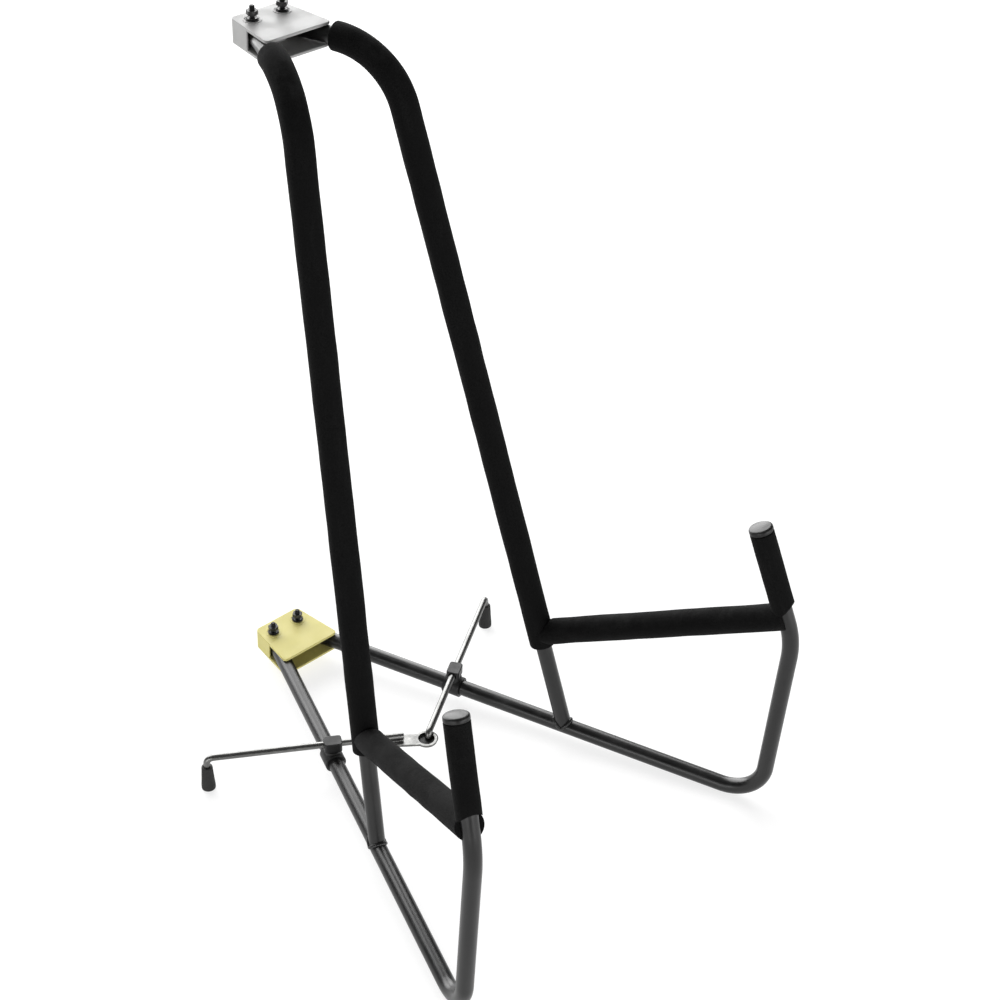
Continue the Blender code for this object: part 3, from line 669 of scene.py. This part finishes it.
def make_drawn_wire():
    f = Finish("drawn_steel_wire", Metallic=1.0)
    t = f.tree
    along = f.unrolled(WIRE_RADIUS)
    draw = t.noise(t.stretched(along, (5200.0, 5200.0, 40.0)), 1.0, 3.0, 0.6)
    grain = f.group(FINE_GRAIN, Vector=f.place, Grain=0.0007, Patch=0.009)
    spots = t.remap(t.noise(f.place, 760.0, 4.0, 0.7), 0.60, 0.72)
    streak = t.math("MULTIPLY", t.math("ADD", draw, grain["Mottle"]), 0.5)
    base = t.mixed(streak, (0.11, 0.11, 0.108, 1), (0.20, 0.20, 0.195, 1))
    f.colour(t.mixed(t.math("MULTIPLY", spots, 0.45), base, (0.06, 0.056, 0.05, 1)))
    f.roughness(t.math("ADD", t.remap(draw, 0.3, 0.7, 0.24, 0.42), t.math("MULTIPLY", spots, 0.2)))
    f.relief(t.math("ADD", draw, t.math("MULTIPLY", grain["Height"], 0.4)), 0.000014)
    return f.material


def make_rubber():
    f = Finish("black_rubber", Specular_IOR_Level=0.35)
    t = f.tree
    grain = f.group(FINE_GRAIN, Vector=f.place, Grain=0.0006, Patch=0.006)
    edges = f.group(EDGE_WEAR_AND_HOLLOW_SHADE, Vector=f.place, Reach=0.53)
    dust = f.group(SETTLED_DUST, Vector=f.place, Amount=0.35)["Dust"]
    base = t.mixed(grain["Mottle"], (0.008, 0.008, 0.008, 1), (0.018, 0.018, 0.0175, 1))
    bloom = t.mixed(t.math("MULTIPLY", edges["Wear"], 0.5), base, (0.05, 0.05, 0.048, 1))
    f.colour(t.mixed(dust, bloom, (0.22, 0.21, 0.19, 1)))
    f.roughness(t.remap(grain["Mottle"], 0.0, 1.0, 0.62, 0.82))
    f.relief(grain["Height"], 0.00005)
    return f.material


FINISHES = {
    "gloss_black": make_gloss_black(),
    "foam_black": make_foam_black(),
    "yellow_plastic": make_moulded(
        "yellow_moulding",
        (0.58, 0.525, 0.19, 1),
        (0.54, 0.49, 0.17, 1),
        (0.66, 0.61, 0.29, 1),
        # painted shade colour for the concave corners
        (0.24, 0.21, 0.07, 1),
        Specular_IOR_Level=0.2,
        Subsurface_Weight=0.06,
        Subsurface_Radius=(0.004, 0.003, 0.001),
    ),
    "white_plastic": make_moulded(
        "white_moulding",
        (0.38, 0.38, 0.377, 1),
        (0.35, 0.35, 0.347, 1),
        (0.47, 0.47, 0.465, 1),
        # painted shade colour for the concave corners
        (0.20, 0.20, 0.195, 1),
        Specular_IOR_Level=0.2,
        Subsurface_Weight=0.06,
        Subsurface_Radius=(0.003, 0.003, 0.003),
    ),
    "black_plastic": make_moulded(
        "black_moulding",
        (0.006, 0.006, 0.006, 1),
        (0.004, 0.004, 0.004, 1),
        (0.025, 0.025, 0.025, 1),
        # painted shade colour for the concave corners
        (0.003, 0.003, 0.003, 1),
        Specular_IOR_Level=0.3,
    ),
    "black_steel": make_steel(
        "blackened_steel",
        (0.006, 0.006, 0.0065, 1),
        (0.012, 0.012, 0.012, 1),
        (0.05, 0.05, 0.049, 1),
        0.4,
        0.0005,
        metallic=0.25,
        Specular_IOR_Level=0.3,
    ),
    "bright_steel": make_steel(
        "plated_steel", (0.12, 0.12, 0.118, 1), (0.20, 0.20, 0.195, 1), (0.34, 0.34, 0.33, 1), 0.33, 0.0004
    ),
    "drawn_wire": make_drawn_wire(),
    "rubber": make_rubber(),
}


# ---- Pieces -----------------------------------------------------------------------------------


def add_piece(name, bm, place, finish, body, *nodes):
    """Puts a finished shape in its place, on its body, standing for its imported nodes."""
    bmesh.ops.transform(bm, matrix=place, verts=bm.verts)
    bmesh.ops.recalc_face_normals(bm, faces=bm.faces)
    mesh = bpy.data.meshes.new(name)
    bm.to_mesh(mesh)
    bm.free()
    mesh.shade_smooth()
    mesh.set_sharp_from_angle(angle=SMOOTH_UNDER)
    mesh.materials.append(FINISHES[finish])
    piece = bpy.data.objects.new(name, mesh)
    bpy.context.scene.collection.objects.link(piece)
    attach(piece, body)
    if nodes:
        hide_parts(*nodes)
    return piece


def with_flat_faces(piece):
    """Keeps broad faces flat-looking between rounded edges."""
    weighted = piece.modifiers.new("Flat faces", "WEIGHTED_NORMAL")
    weighted.keep_sharp = True
    return piece


def tube_edge_at(y, side_of_axis):
    """Where an opened-out tube's outer (+1) or inner (-1) flank crosses y, with its clearance."""
    return PIVOT_HALF - y * math.tan(SPREAD) + side_of_axis * YOKE_GAP_HALF / math.cos(SPREAD)


def both_halves(right_half):
    return right_half + [(-x, y) for x, y in reversed(right_half)]


def yoke_pocket():
    """The space between the plates: room for both tubes to swing, round a central rib."""
    rear = YOKE_REAR_INNER
    flank = PIVOT_HALF + YOKE_GAP_HALF
    flank_start = (tube_edge_at(0, 1) - flank) / math.tan(SPREAD)
    rib_front = PIVOT_HALF - YOKE_GAP_HALF
    rib_rear = PIVOT_HALF - TUBE_TAIL * math.sin(SPREAD) - YOKE_GAP_HALF
    beyond = YOKE_FRONT_HALF + PAST
    right_half = [
        (rib_rear, rear),
        (flank, rear),
        (flank, flank_start),
        (tube_edge_at(-YOKE_WALL_END, 1), -YOKE_WALL_END),
        (beyond, -YOKE_WALL_END),
        (beyond, -YOKE_FRONT - PAST),
    ]
    rib = [(rib_front, -YOKE_RIB_END), (rib_front, -TUBE_RADIUS), (rib_rear, TUBE_RADIUS)]
    left_rib = [(-x, y) for x, y in reversed(rib)]
    return both_halves(right_half) + left_rib + rib


def add_yoke(level, finish):
    outline = both_halves([(YOKE_REAR_HALF, YOKE_REAR), (YOKE_FRONT_HALF, -YOKE_FRONT)])
    block = prism(outline, -YOKE_HALF_HEIGHT, YOKE_HALF_HEIGHT)
    bevelled(block, YOKE_CORNER, 8, chosen=is_upright)
    steps = [("DIFFERENCE", prism(yoke_pocket(), -YOKE_GAP_HALF, YOKE_GAP_HALF))]
    for side in ("left", "right"):
        centre = Vector((side_sign(side) * PIVOT_HALF, 0, 0))
        reach = Vector((0, 0, YOKE_HALF_HEIGHT + PAST))
        steps.append(("DIFFERENCE", rod(centre - reach, centre + reach, BOLT_RADIUS + GAP, SMALL_SIDES)))
    body = bevelled(carved(block, *steps), YOKE_EDGE)
    broad = [face for face in body.faces if face.calc_area() > BROAD_FACE]
    bmesh.ops.inset_region(body, faces=broad, thickness=0.25 * MM, use_even_offset=True, use_boundary=True)
    piece = add_piece(f"{level}_yoke_moulding", body, yoke_place(level), finish, "root", f"{level}_yoke")
    with_flat_faces(piece)
    for side in ("left", "right"):
        for face in (-1, 1):
            low = face * (YOKE_HALF_HEIGHT - 0.1 * MM)
            high = face * (YOKE_HALF_HEIGHT + SEAT_RISE)
            profile = [
                (SEAT_BORE, low, 0),
                (SEAT_RADIUS, low, 0),
                (SEAT_RADIUS, high, 0.12 * MM),
                (SEAT_BORE, high, 0.12 * MM),
                (SEAT_BORE, low, 0),
            ]
            place = yoke_place(level) @ Matrix.Translation((side_sign(side) * PIVOT_HALF, 0, 0))
            name = f"{level}_{side}_bolt_seat_{'top' if face > 0 else 'under'}"
            add_piece(name, turned(profile), place, finish, "root")


def threaded_rod(low, high):
    """A rod whose upper end is threaded, with a chamfered tip."""
    plain = high - THREAD_LENGTH
    step = THREAD_PITCH / 8
    count = math.ceil((high - plain) / step)
    heights = [low] + [plain + (high - plain) * index / count for index in range(count + 1)]
    bm = solid_rod(stations([Vector((0, 0, z)) for z in heights], BOLT_RADIUS), SMALL_SIDES)
    for vert in bm.verts:
        z = vert.co.z
        if z < plain:
            continue
        turn = math.atan2(vert.co.y, vert.co.x) / (2 * math.pi)
        phase = (z / THREAD_PITCH - turn) % 1
        groove = THREAD_DEPTH * (1 - abs(2 * phase - 1))
        run_out = min(1, (z - plain) / THREAD_PITCH)
        radius = min(BOLT_RADIUS - groove * run_out, BOLT_RADIUS - 0.55 * MM + (high - z))
        vert.co.xy = vert.co.xy.normalized() * radius
    return bm


def hex_with_chamfer(low, high, both_ends):
    corner = HEX_FLATS / math.sqrt(3)
    across = HEX_FLATS / 2 - 0.08 * MM
    foot = across if both_ends else corner + PAST
    barrel = [
        (0, low, 0),
        (foot, low, 0),
        (corner + PAST, low + (HEX_CHAMFER + PAST * 0.55 if both_ends else 0), 0),
        (corner + PAST, high - HEX_CHAMFER - PAST * 0.55, 0),
        (across, high, 0),
        (0, high, 0),
    ]
    if not both_ends:
        barrel.pop(2)
    hexagon = prism(circle(corner, 6), low - PAST, high + PAST)
    return carved(hexagon, ("INTERSECT", turned(barrel, SIDES * 2)))


def add_hinge_bolt(level, side):
    place = yoke_place(level) @ Matrix.Translation((side_sign(side) * PIVOT_HALF, 0, 0))
    under = -YOKE_HALF_HEIGHT - GAP
    washer_low = YOKE_HALF_HEIGHT + GAP
    nut_low = washer_low + WASHER_THICKNESS + GAP
    nut_high = nut_low + NUT_HEIGHT
    head = hex_with_chamfer(-BOLT_HEAD, 0, False)
    half_turn = Matrix.Rotation(math.pi, 3, "X")
    bmesh.ops.rotate(head, cent=(0, 0, -BOLT_HEAD / 2), matrix=half_turn, verts=head.verts)
    bmesh.ops.translate(head, vec=(0, 0, under), verts=head.verts)
    shank = threaded_rod(under - BOLT_HEAD / 2, nut_high + BOLT_OVER_NUT)
    bolt = carved(head, ("UNION", shank))
    name = f"{level}_{side}"
    add_piece(f"{name}_bolt", bolt, place, "black_steel", "root", f"{name}_hinge_bolt")

    bore = BOLT_RADIUS + 0.1 * MM
    washer_high = washer_low + WASHER_THICKNESS
    ring = [
        (bore, washer_low, 0),
        (WASHER_RADIUS, washer_low, 0.25 * MM),
        (WASHER_RADIUS, washer_high, 0.15 * MM),
        (bore, washer_high, 0.1 * MM),
        (bore, washer_low, 0),
    ]
    add_piece(f"{name}_washer", turned(ring), place, "black_steel", "root", f"{name}_hinge_washer")

    shoulder = nut_high - NUT_COLLAR
    nut = hex_with_chamfer(nut_low, shoulder, True)
    collar_radius = HEX_FLATS / 2 - 0.25 * MM
    collar = turned(
        [
            (0, shoulder - 0.5 * MM, 0),
            (collar_radius, shoulder - 0.5 * MM, 0),
            (collar_radius, nut_high, 0.55 * MM),
            (collar_radius - 0.75 * MM, nut_high, 0.1 * MM),
            (collar_radius - 0.75 * MM, nut_high - 0.35 * MM, 0),
            (0, nut_high - 0.35 * MM, 0),
        ]
    )
    hole = rod(Vector((0, 0, nut_low - PAST)), Vector((0, 0, nut_high + PAST)), bore, SMALL_SIDES)
    nut = carved(nut, ("UNION", collar), ("DIFFERENCE", hole))
    turn = Matrix.Rotation(math.radians(14 if side == "left" else 37), 4, "Z")
    add_piece(f"{name}_nut", nut, place @ turn, "black_steel", "root", f"{name}_hinge_nut")


def end_room(start, end, radius):
    past = (end - start).normalized() * END_PAST
    return rod(start - past, end + past, radius)


def add_tubes(side):
    place = frame_place(side)
    body = f"{side}_frame"
    bolt_reach = Vector((0, 0, TUBE_RADIUS + PAST))
    hinge_room = rod(-bolt_reach, bolt_reach, BOLT_RADIUS + GAP, SMALL_SIDES)
    tube = sleeve(FRAME_PATH, TUBE_RADIUS, TUBE_BORE, TUBE_LIP)
    tube = carved(tube, ("DIFFERENCE", hinge_room))
    add_piece(f"{side}_bent_tube", tube, place, "gloss_black", body, f"{side}_frame_tube")

    top_room = rod(TOP_HINGE - bolt_reach, TOP_HINGE + bolt_reach, BOLT_RADIUS + GAP, SMALL_SIDES)
    base_room = rod(in_frame(0, 0), in_frame(BASE_LENGTH - CORNER_BEND, 0), TUBE_RADIUS + 0.05 * MM)
    back = sleeve(BACK_PATH, TUBE_RADIUS, TUBE_BORE, TUBE_LIP)
    back = carved(back, ("DIFFERENCE", top_room), ("DIFFERENCE", base_room))
    add_piece(f"{side}_back_upright", back, place, "gloss_black", body, f"{side}_back_tube")

    arm = sleeve([ARM_REAR, ARM_FRONT], TUBE_RADIUS, TUBE_BORE, TUBE_LIP)
    arm = carved(
        arm,
        ("DIFFERENCE", end_room(BACK_FOOT, BACK_TOP, TUBE_RADIUS + 0.05 * MM)),
        ("DIFFERENCE", end_room(LEG_TOP, HOOK_TIP, TUBE_RADIUS + 0.05 * MM)),
    )
    add_piece(f"{side}_arm_bar", arm, place, "gloss_black", body, f"{side}_arm_tube")
    add_foot_weld(side, place, body)


def add_foot_weld(side, place, body):
    """The bead round the back tube's foot, laid in small overlapping pools."""
    up = (BACK_TOP - BACK_FOOT).normalized()
    across = Vector((0, -up.z, up.y))
    steps = 220
    pools = 17
    line = []
    sizes = []
    for step in range(steps + 1):
        angle = 2 * math.pi * step / steps
        height = math.sqrt(math.sin(angle) ** 2 + 0.012)
        rise = TUBE_RADIUS * (height - math.sin(angle) * up.y) / up.z
        spot = up * rise + across * TUBE_RADIUS * math.sin(angle)
        line.append(BACK_FOOT + spot + Vector((TUBE_RADIUS * math.cos(angle), 0, 0)))
        ripple = abs(math.sin(angle * pools / 2))
        drift = noise.noise(Vector((math.cos(angle), math.sin(angle), side_sign(side)))) * 0.18
        sizes.append((1.0 + 0.55 * height + drift) * (0.88 + 0.12 * ripple) * MM)
    rings = [(point, heading, size) for (point, heading, _), size in zip(stations(line, 0), sizes)]
    add_piece(f"{side}_foot_weld", solid_rod(rings, 16), place, "gloss_black", body)


def ruffled(bm, amount, size, seed):
    """Moves a soft skin in and out a little, as cut foam lies."""
    bm.normal_update()
    for vert in bm.verts:
        spot = vert.co / size + Vector((seed, seed * 0.7, seed * 1.3))
        vert.co += vert.normal * noise.noise(spot) * amount
    return bm


def pinched(bm, start, end, reach, depth):
    """Draws the skin in where it butts against a sleeve on the line from start to end."""
    run = (end - start).normalized()
    for vert in bm.verts:
        offset = vert.co - start
        clear = (offset - run * offset.dot(run)).length - FOAM_RADIUS
        if clear < reach:
            share = 1 - max(0, clear) / reach
            vert.co -= vert.normal * depth * share * share
    return bm


def add_foam(side):
    place = frame_place(side)
    body = f"{side}_frame"
    seed = 3.0 if side == "left" else 11.0
    back_run = (BACK_FOOT - BACK_TOP).normalized()
    back_end = ARM_REAR + back_run * BACK_FOAM_BELOW_ARM
    back_corners = [in_frame(BACK_FOAM_START, HINGE_SPAN), BACK_TOP, back_end]
    back = sleeve(rounded_path(back_corners, [TOP_BEND]), FOAM_RADIUS, FOAM_BORE, FOAM_LIP, 1.3 * MM)
    ruffled(back, 0.22 * MM, 16 * MM, seed)
    back = carved(back, ("DIFFERENCE", rod(ARM_REAR, ARM_FRONT, TUBE_RADIUS + 0.1 * MM)))
    sleeves = [add_piece(f"{side}_back_foam", back, place, "foam_black", body, f"{side}_back_pad")]

    arm = sleeve([ARM_REAR, ARM_FRONT], FOAM_RADIUS, FOAM_BORE, FOAM_LIP, 0.9 * MM)
    ruffled(arm, 0.24 * MM, 15 * MM, seed + 2)
    arm.normal_update()
    pinched(arm, BACK_FOOT, BACK_TOP, 2.2 * MM, 0.7 * MM)
    arm = carved(
        arm,
        ("DIFFERENCE", end_room(BACK_FOOT, BACK_TOP, FOAM_RADIUS + 0.12 * MM)),
        ("DIFFERENCE", solid_rod(stations(FRAME_PATH, TUBE_RADIUS + 0.1 * MM))),
    )
    sleeves.append(add_piece(f"{side}_arm_foam", arm, place, "foam_black", body, f"{side}_arm_pad"))

    hook_run = (HOOK_TIP - LEG_TOP).normalized()
    hook = sleeve([HOOK_TIP, ARM_FRONT], HOOK_FOAM_RADIUS, FOAM_BORE, FOAM_LIP, 0.9 * MM)
    ruffled(hook, 0.18 * MM, 14 * MM, seed + 4)
    hook = carved(hook, ("DIFFERENCE", end_room(ARM_REAR, ARM_FRONT, FOAM_RADIUS + 0.12 * MM)))
    sleeves.append(add_piece(f"{side}_hook_foam", hook, place, "foam_black", body, f"{side}_hook_pad"))

    stem = TUBE_BORE - GAP
    cap = turned(
        [
            (0, -CAP_STEM, 0),
            (stem, -CAP_STEM, 0.5 * MM),
            (stem, GAP, 0.2 * MM),
            (HOOK_FOAM_RADIUS, GAP, 0.3 * MM),
            (HOOK_FOAM_RADIUS, CAP_HEAD, CAP_EDGE),
            (0, CAP_HEAD + CAP_CROWN, 0),
        ]
    )
    cap_place = place @ upright_at(HOOK_TIP, hook_run)
    add_piece(f"{side}_hook_cap", cap, cap_place, "black_plastic", body, f"{side}_hook_plug")


def add_swivel(side):
    """The collar on the base tube, and the block that turns on it and grips the wire."""
    place = frame_place(side)
    swivel = in_frame(SWIVEL_AHEAD, 0)
    half = Vector((0, COLLAR_LENGTH / 2, 0))
    reach = Vector((0, COLLAR_LENGTH, 0))
    collar = carved(
        rod(swivel - half, swivel + half, COLLAR_RADIUS),
        ("UNION", rod(swivel, swivel + Vector((0, 0, BOSS_TOP)), BOSS_RADIUS)),
        ("DIFFERENCE", rod(swivel - reach, swivel + reach, TUBE_RADIUS + 0.05 * MM)),
    )
    bevelled(collar, 0.4 * MM, 3)
    add_piece(f"{side}_swivel_collar", collar, place, "black_plastic", f"{side}_frame", f"{side}_wire_collar")

    bm = bmesh.new()
    bmesh.ops.create_cube(bm, size=1)
    bmesh.ops.scale(bm, vec=(BLOCK_LENGTH, BLOCK_WIDTH, BLOCK_HEIGHT), verts=bm.verts)
    bmesh.ops.translate(bm, vec=(0, 0, BOSS_TOP + GAP + BLOCK_HEIGHT / 2), verts=bm.verts)
    bevelled(bm, BLOCK_CORNER, 6, chosen=is_upright)
    wire_reach = Vector((BLOCK_LENGTH, 0, 0))
    centre = Vector((0, 0, WIRE_HEIGHT))
    wire_room = rod(centre - wire_reach, centre + wire_reach, WIRE_RADIUS + 0.1 * MM, SMALL_SIDES)
    block = carved(bm, ("DIFFERENCE", wire_room))
    bevelled(block, 0.5 * MM, 4)
    piece = add_piece(
        f"{side}_clip_block", block, wire_place(side), "black_plastic", f"{side}_wire_leg", f"{side}_swivel_block"
    )
    with_flat_faces(piece)


def add_wire(side):
    place = wire_place(side)
    body = f"{side}_wire_leg"
    down = place.to_3x3().inverted() @ Vector((0, 0, -1))
    corner = Vector((WIRE_OUTER, 0, WIRE_HEIGHT))
    floor_point = corner + down * (place @ corner).z
    wire_end = floor_point - down * (TIP_FLOOR + GAP)
    pivot = Vector((-PIVOT_RADIUS, 0, WIRE_HEIGHT))
    if side == "left":
        inner = [pivot + Vector((LEFT_WIRE_STOP, 0, 0))]
        bends = [WIRE_BEND]
    else:
        inner = [Vector((-PIVOT_RADIUS, 0, EYE_LOW - GAP - PIN_CAP_THICKNESS - PIN_OVER_CAP)), pivot]
        bends = [PIN_BEND, WIRE_BEND]
    path = rounded_path(inner + [corner, wire_end], bends)
    wire = bevelled(solid_rod(stations(path, WIRE_RADIUS), SMALL_SIDES), 0.35 * MM, 3, math.radians(60))
    add_piece(f"{side}_leg_wire", wire, place, "drawn_wire", body, f"{side}_wire")

    profile = [
        (0, 0, 0),
        (TIP_FOOT_RADIUS, 0, 0.8 * MM),
        (TIP_FOOT_RADIUS, TIP_FLOOR, 1.2 * MM),
        (TIP_TOP_RADIUS + 0.6 * MM, TIP_FLOOR + 4.2 * MM, 1.0 * MM),
        (TIP_TOP_RADIUS, TIP_HEIGHT, 0.6 * MM),
        (WIRE_RADIUS + 0.05 * MM, TIP_HEIGHT, 0.2 * MM),
        (WIRE_RADIUS + 0.05 * MM, TIP_FLOOR, 0),
        (0, TIP_FLOOR, 0),
    ]
    tip_place = place @ upright_at(floor_point, -down)
    add_piece(f"{side}_foot_tip", turned(profile), tip_place, "rubber", body, f"{side}_rubber_tip")


def pin_drift():
    """How far the right leg's pin strays inside the left leg's eye, on the left leg's axes."""
    drift = Vector((0, 0))
    for step in range(FOLD_STEPS + 1):
        share = step / FOLD_STEPS
        spread = SPREAD * (1 - share)
        splay = WIRE_SPLAY + (WIRE_SPLAY_FOLDED - WIRE_SPLAY) * share
        past_centre = PIVOT_RADIUS * math.sin(splay) - PIVOT_HALF - SWIVEL_AHEAD * math.sin(spread)
        here = Vector((math.sin(splay), math.cos(splay))) * 2 * past_centre
        if here.length > drift.length:
            drift = here
    return drift


def add_pivot():
    """The eye plate welded under the left wire, and the cap on the right wire's pin."""
    place = wire_place("left")
    drift = pin_drift()
    hole = WIRE_RADIUS + drift.length / 2 + GAP
    eye = Vector((-PIVOT_RADIUS, 0)) + drift / 2
    rim = hole + EYE_RIM
    tail_end = -PIVOT_RADIUS + EYE_TAIL
    half = math.asin(EYE_TAIL_HALF / rim)
    steps = 72
    outline = []
    for step in range(steps + 1):
        angle = half + (2 * math.pi - 2 * half) * step / steps
        outline.append((eye.x + rim * math.cos(angle), eye.y + rim * math.sin(angle)))
    outline += [(tail_end, -EYE_TAIL_HALF), (tail_end, EYE_TAIL_HALF)]
    below = Vector((eye.x, eye.y, EYE_LOW - PAST))
    above = Vector((eye.x, eye.y, EYE_LOW + EYE_PLATE + PAST))
    plate = carved(prism(outline, EYE_LOW, EYE_LOW + EYE_PLATE), ("DIFFERENCE", rod(below, above, hole)))
    bevelled(plate, 0.2 * MM, 2)
    piece = add_piece("left_eye", plate, place, "bright_steel", "left_wire_leg", "left_eye_plate")
    with_flat_faces(piece)

    start = -PIVOT_RADIUS + LEFT_WIRE_STOP + 0.8 * MM
    end = tail_end - 1.2 * MM
    for flank in (-1, 1):
        line = []
        sizes = []
        count = 60
        for step in range(count + 1):
            share = step / count
            x = start + (end - start) * share
            line.append(Vector((x, flank * (WIRE_RADIUS * 0.9), EYE_LOW + EYE_PLATE + 0.35 * MM)))
            swell = math.sin(math.pi * min(1, 0.04 + share * 0.96)) ** 0.3
            sizes.append((0.35 + 0.5 * swell) * (0.88 + 0.12 * abs(math.sin(share * 24))) * MM)
        rings = [(point, heading, size) for (point, heading, _), size in zip(stations(line, 0), sizes)]
        name = f"left_eye_weld_{'outer' if flank > 0 else 'inner'}"
        add_piece(name, solid_rod(rings, 12), place, "bright_steel", "left_wire_leg")

    high = EYE_LOW - GAP
    low = high - PIN_CAP_THICKNESS
    bore = WIRE_RADIUS + 0.05 * MM
    cap = [
        (bore, low, 0),
        (PIN_CAP_RADIUS - 1.2 * MM, low, 0.4 * MM),
        (PIN_CAP_RADIUS, high - 0.5 * MM, 0.25 * MM),
        (PIN_CAP_RADIUS, high, 0.2 * MM),
        (bore, high, 0.15 * MM),
        (bore, low, 0),
    ]
    cap_place = wire_place("right") @ Matrix.Translation((-PIVOT_RADIUS, 0, 0))
    add_piece("right_push_cap", turned(cap), cap_place, "black_steel", "right_wire_leg", "right_pin_cap")


# ---- Studio -----------------------------------------------------------------------------------


def add_studio():
    floor_bm = bmesh.new()
    bmesh.ops.create_grid(floor_bm, x_segments=8, y_segments=8, size=6.0)
    mesh = bpy.data.meshes.new("studio_floor")
    floor_bm.to_mesh(mesh)
    floor_bm.free()
    material = bpy.data.materials.new("studio_white")
    material.use_nodes = True
    shader = material.node_tree.nodes["Principled BSDF"]
    shader.inputs["Base Color"].default_value = (0.30, 0.30, 0.30, 1)
    shader.inputs["Roughness"].default_value = 0.9
    shader.inputs["Specular IOR Level"].default_value = 0.0
    shader.inputs["Emission Color"].default_value = (1, 1, 1, 1)
    shader.inputs["Emission Strength"].default_value = 0.76
    mesh.materials.append(material)
    floor = bpy.data.objects.new("studio_floor", mesh)
    bpy.context.scene.collection.objects.link(floor)

    world = bpy.data.worlds.new("studio_world")
    world.use_nodes = True
    tree = Tree(world.node_tree)
    seen = tree.node("ShaderNodeLightPath").outputs["Is Camera Ray"]
    background = world.node_tree.nodes["Background"]
    background.inputs["Color"].default_value = (1, 1, 1, 1)
    tree.feed(background.inputs["Strength"], tree.remap(seen, 0.0, 1.0, AMBIENT, BACKDROP))
    bpy.context.scene.world = world

    lamps = [
        ("rear_light", (0.65, 1.8, 1.0), (0.0, 0.0, 0.15), 2.8, 2.4, 140),
        ("top_light", (0.1, 0.1, 2.3), (0.0, 0.0, 0.1), 2.0, 2.0, 3),
        ("side_light", (-2.0, -0.6, 0.35), (0.0, 0.0, 0.15), 2.2, 0.9, 26),
        ("front_light", (0.5, -2.2, 0.45), (0.0, 0.0, 0.15), 2.4, 0.9, 30),
    ]
    for name, spot, aim, width, height, power in lamps:
        lamp = bpy.data.lights.new(name, "AREA")
        lamp.shape = "RECTANGLE"
        lamp.size = width
        lamp.size_y = height
        lamp.energy = power
        obj = bpy.data.objects.new(name, lamp)
        heading = (Vector(aim) - Vector(spot)).to_track_quat("-Z", "Y")
        obj.matrix_world = Matrix.Translation(spot) @ heading.to_matrix().to_4x4()
        bpy.context.scene.collection.objects.link(obj)


def add_camera():
    spot = Vector((-0.57628, -0.63061, 0.80957))
    aim = Vector((0.02171, -0.02192, 0.19941))
    lens = bpy.data.cameras.new("camera")
    lens.lens = 69.96
    lens.sensor_width = 36.0
    lens.clip_start = 0.01
    camera = bpy.data.objects.new("camera", lens)
    level = (aim - spot).to_track_quat("-Z", "Y").to_matrix().to_4x4()
    camera.matrix_world = Matrix.Translation(spot) @ level @ Matrix.Rotation(math.radians(1.3835), 4, "Z")
    bpy.context.scene.collection.objects.link(camera)
    bpy.context.scene.camera = camera


add_camera()
add_studio()
add_yoke("lower", "yellow_plastic")
add_yoke("upper", "white_plastic")
for level in ("lower", "upper"):
    for side in ("left", "right"):
        add_hinge_bolt(level, side)
for side in ("left", "right"):
    add_tubes(side)
    add_foam(side)
    add_swivel(side)
    add_wire(side)
add_pivot()

bpy.context.scene.view_settings.view_transform = "Standard"
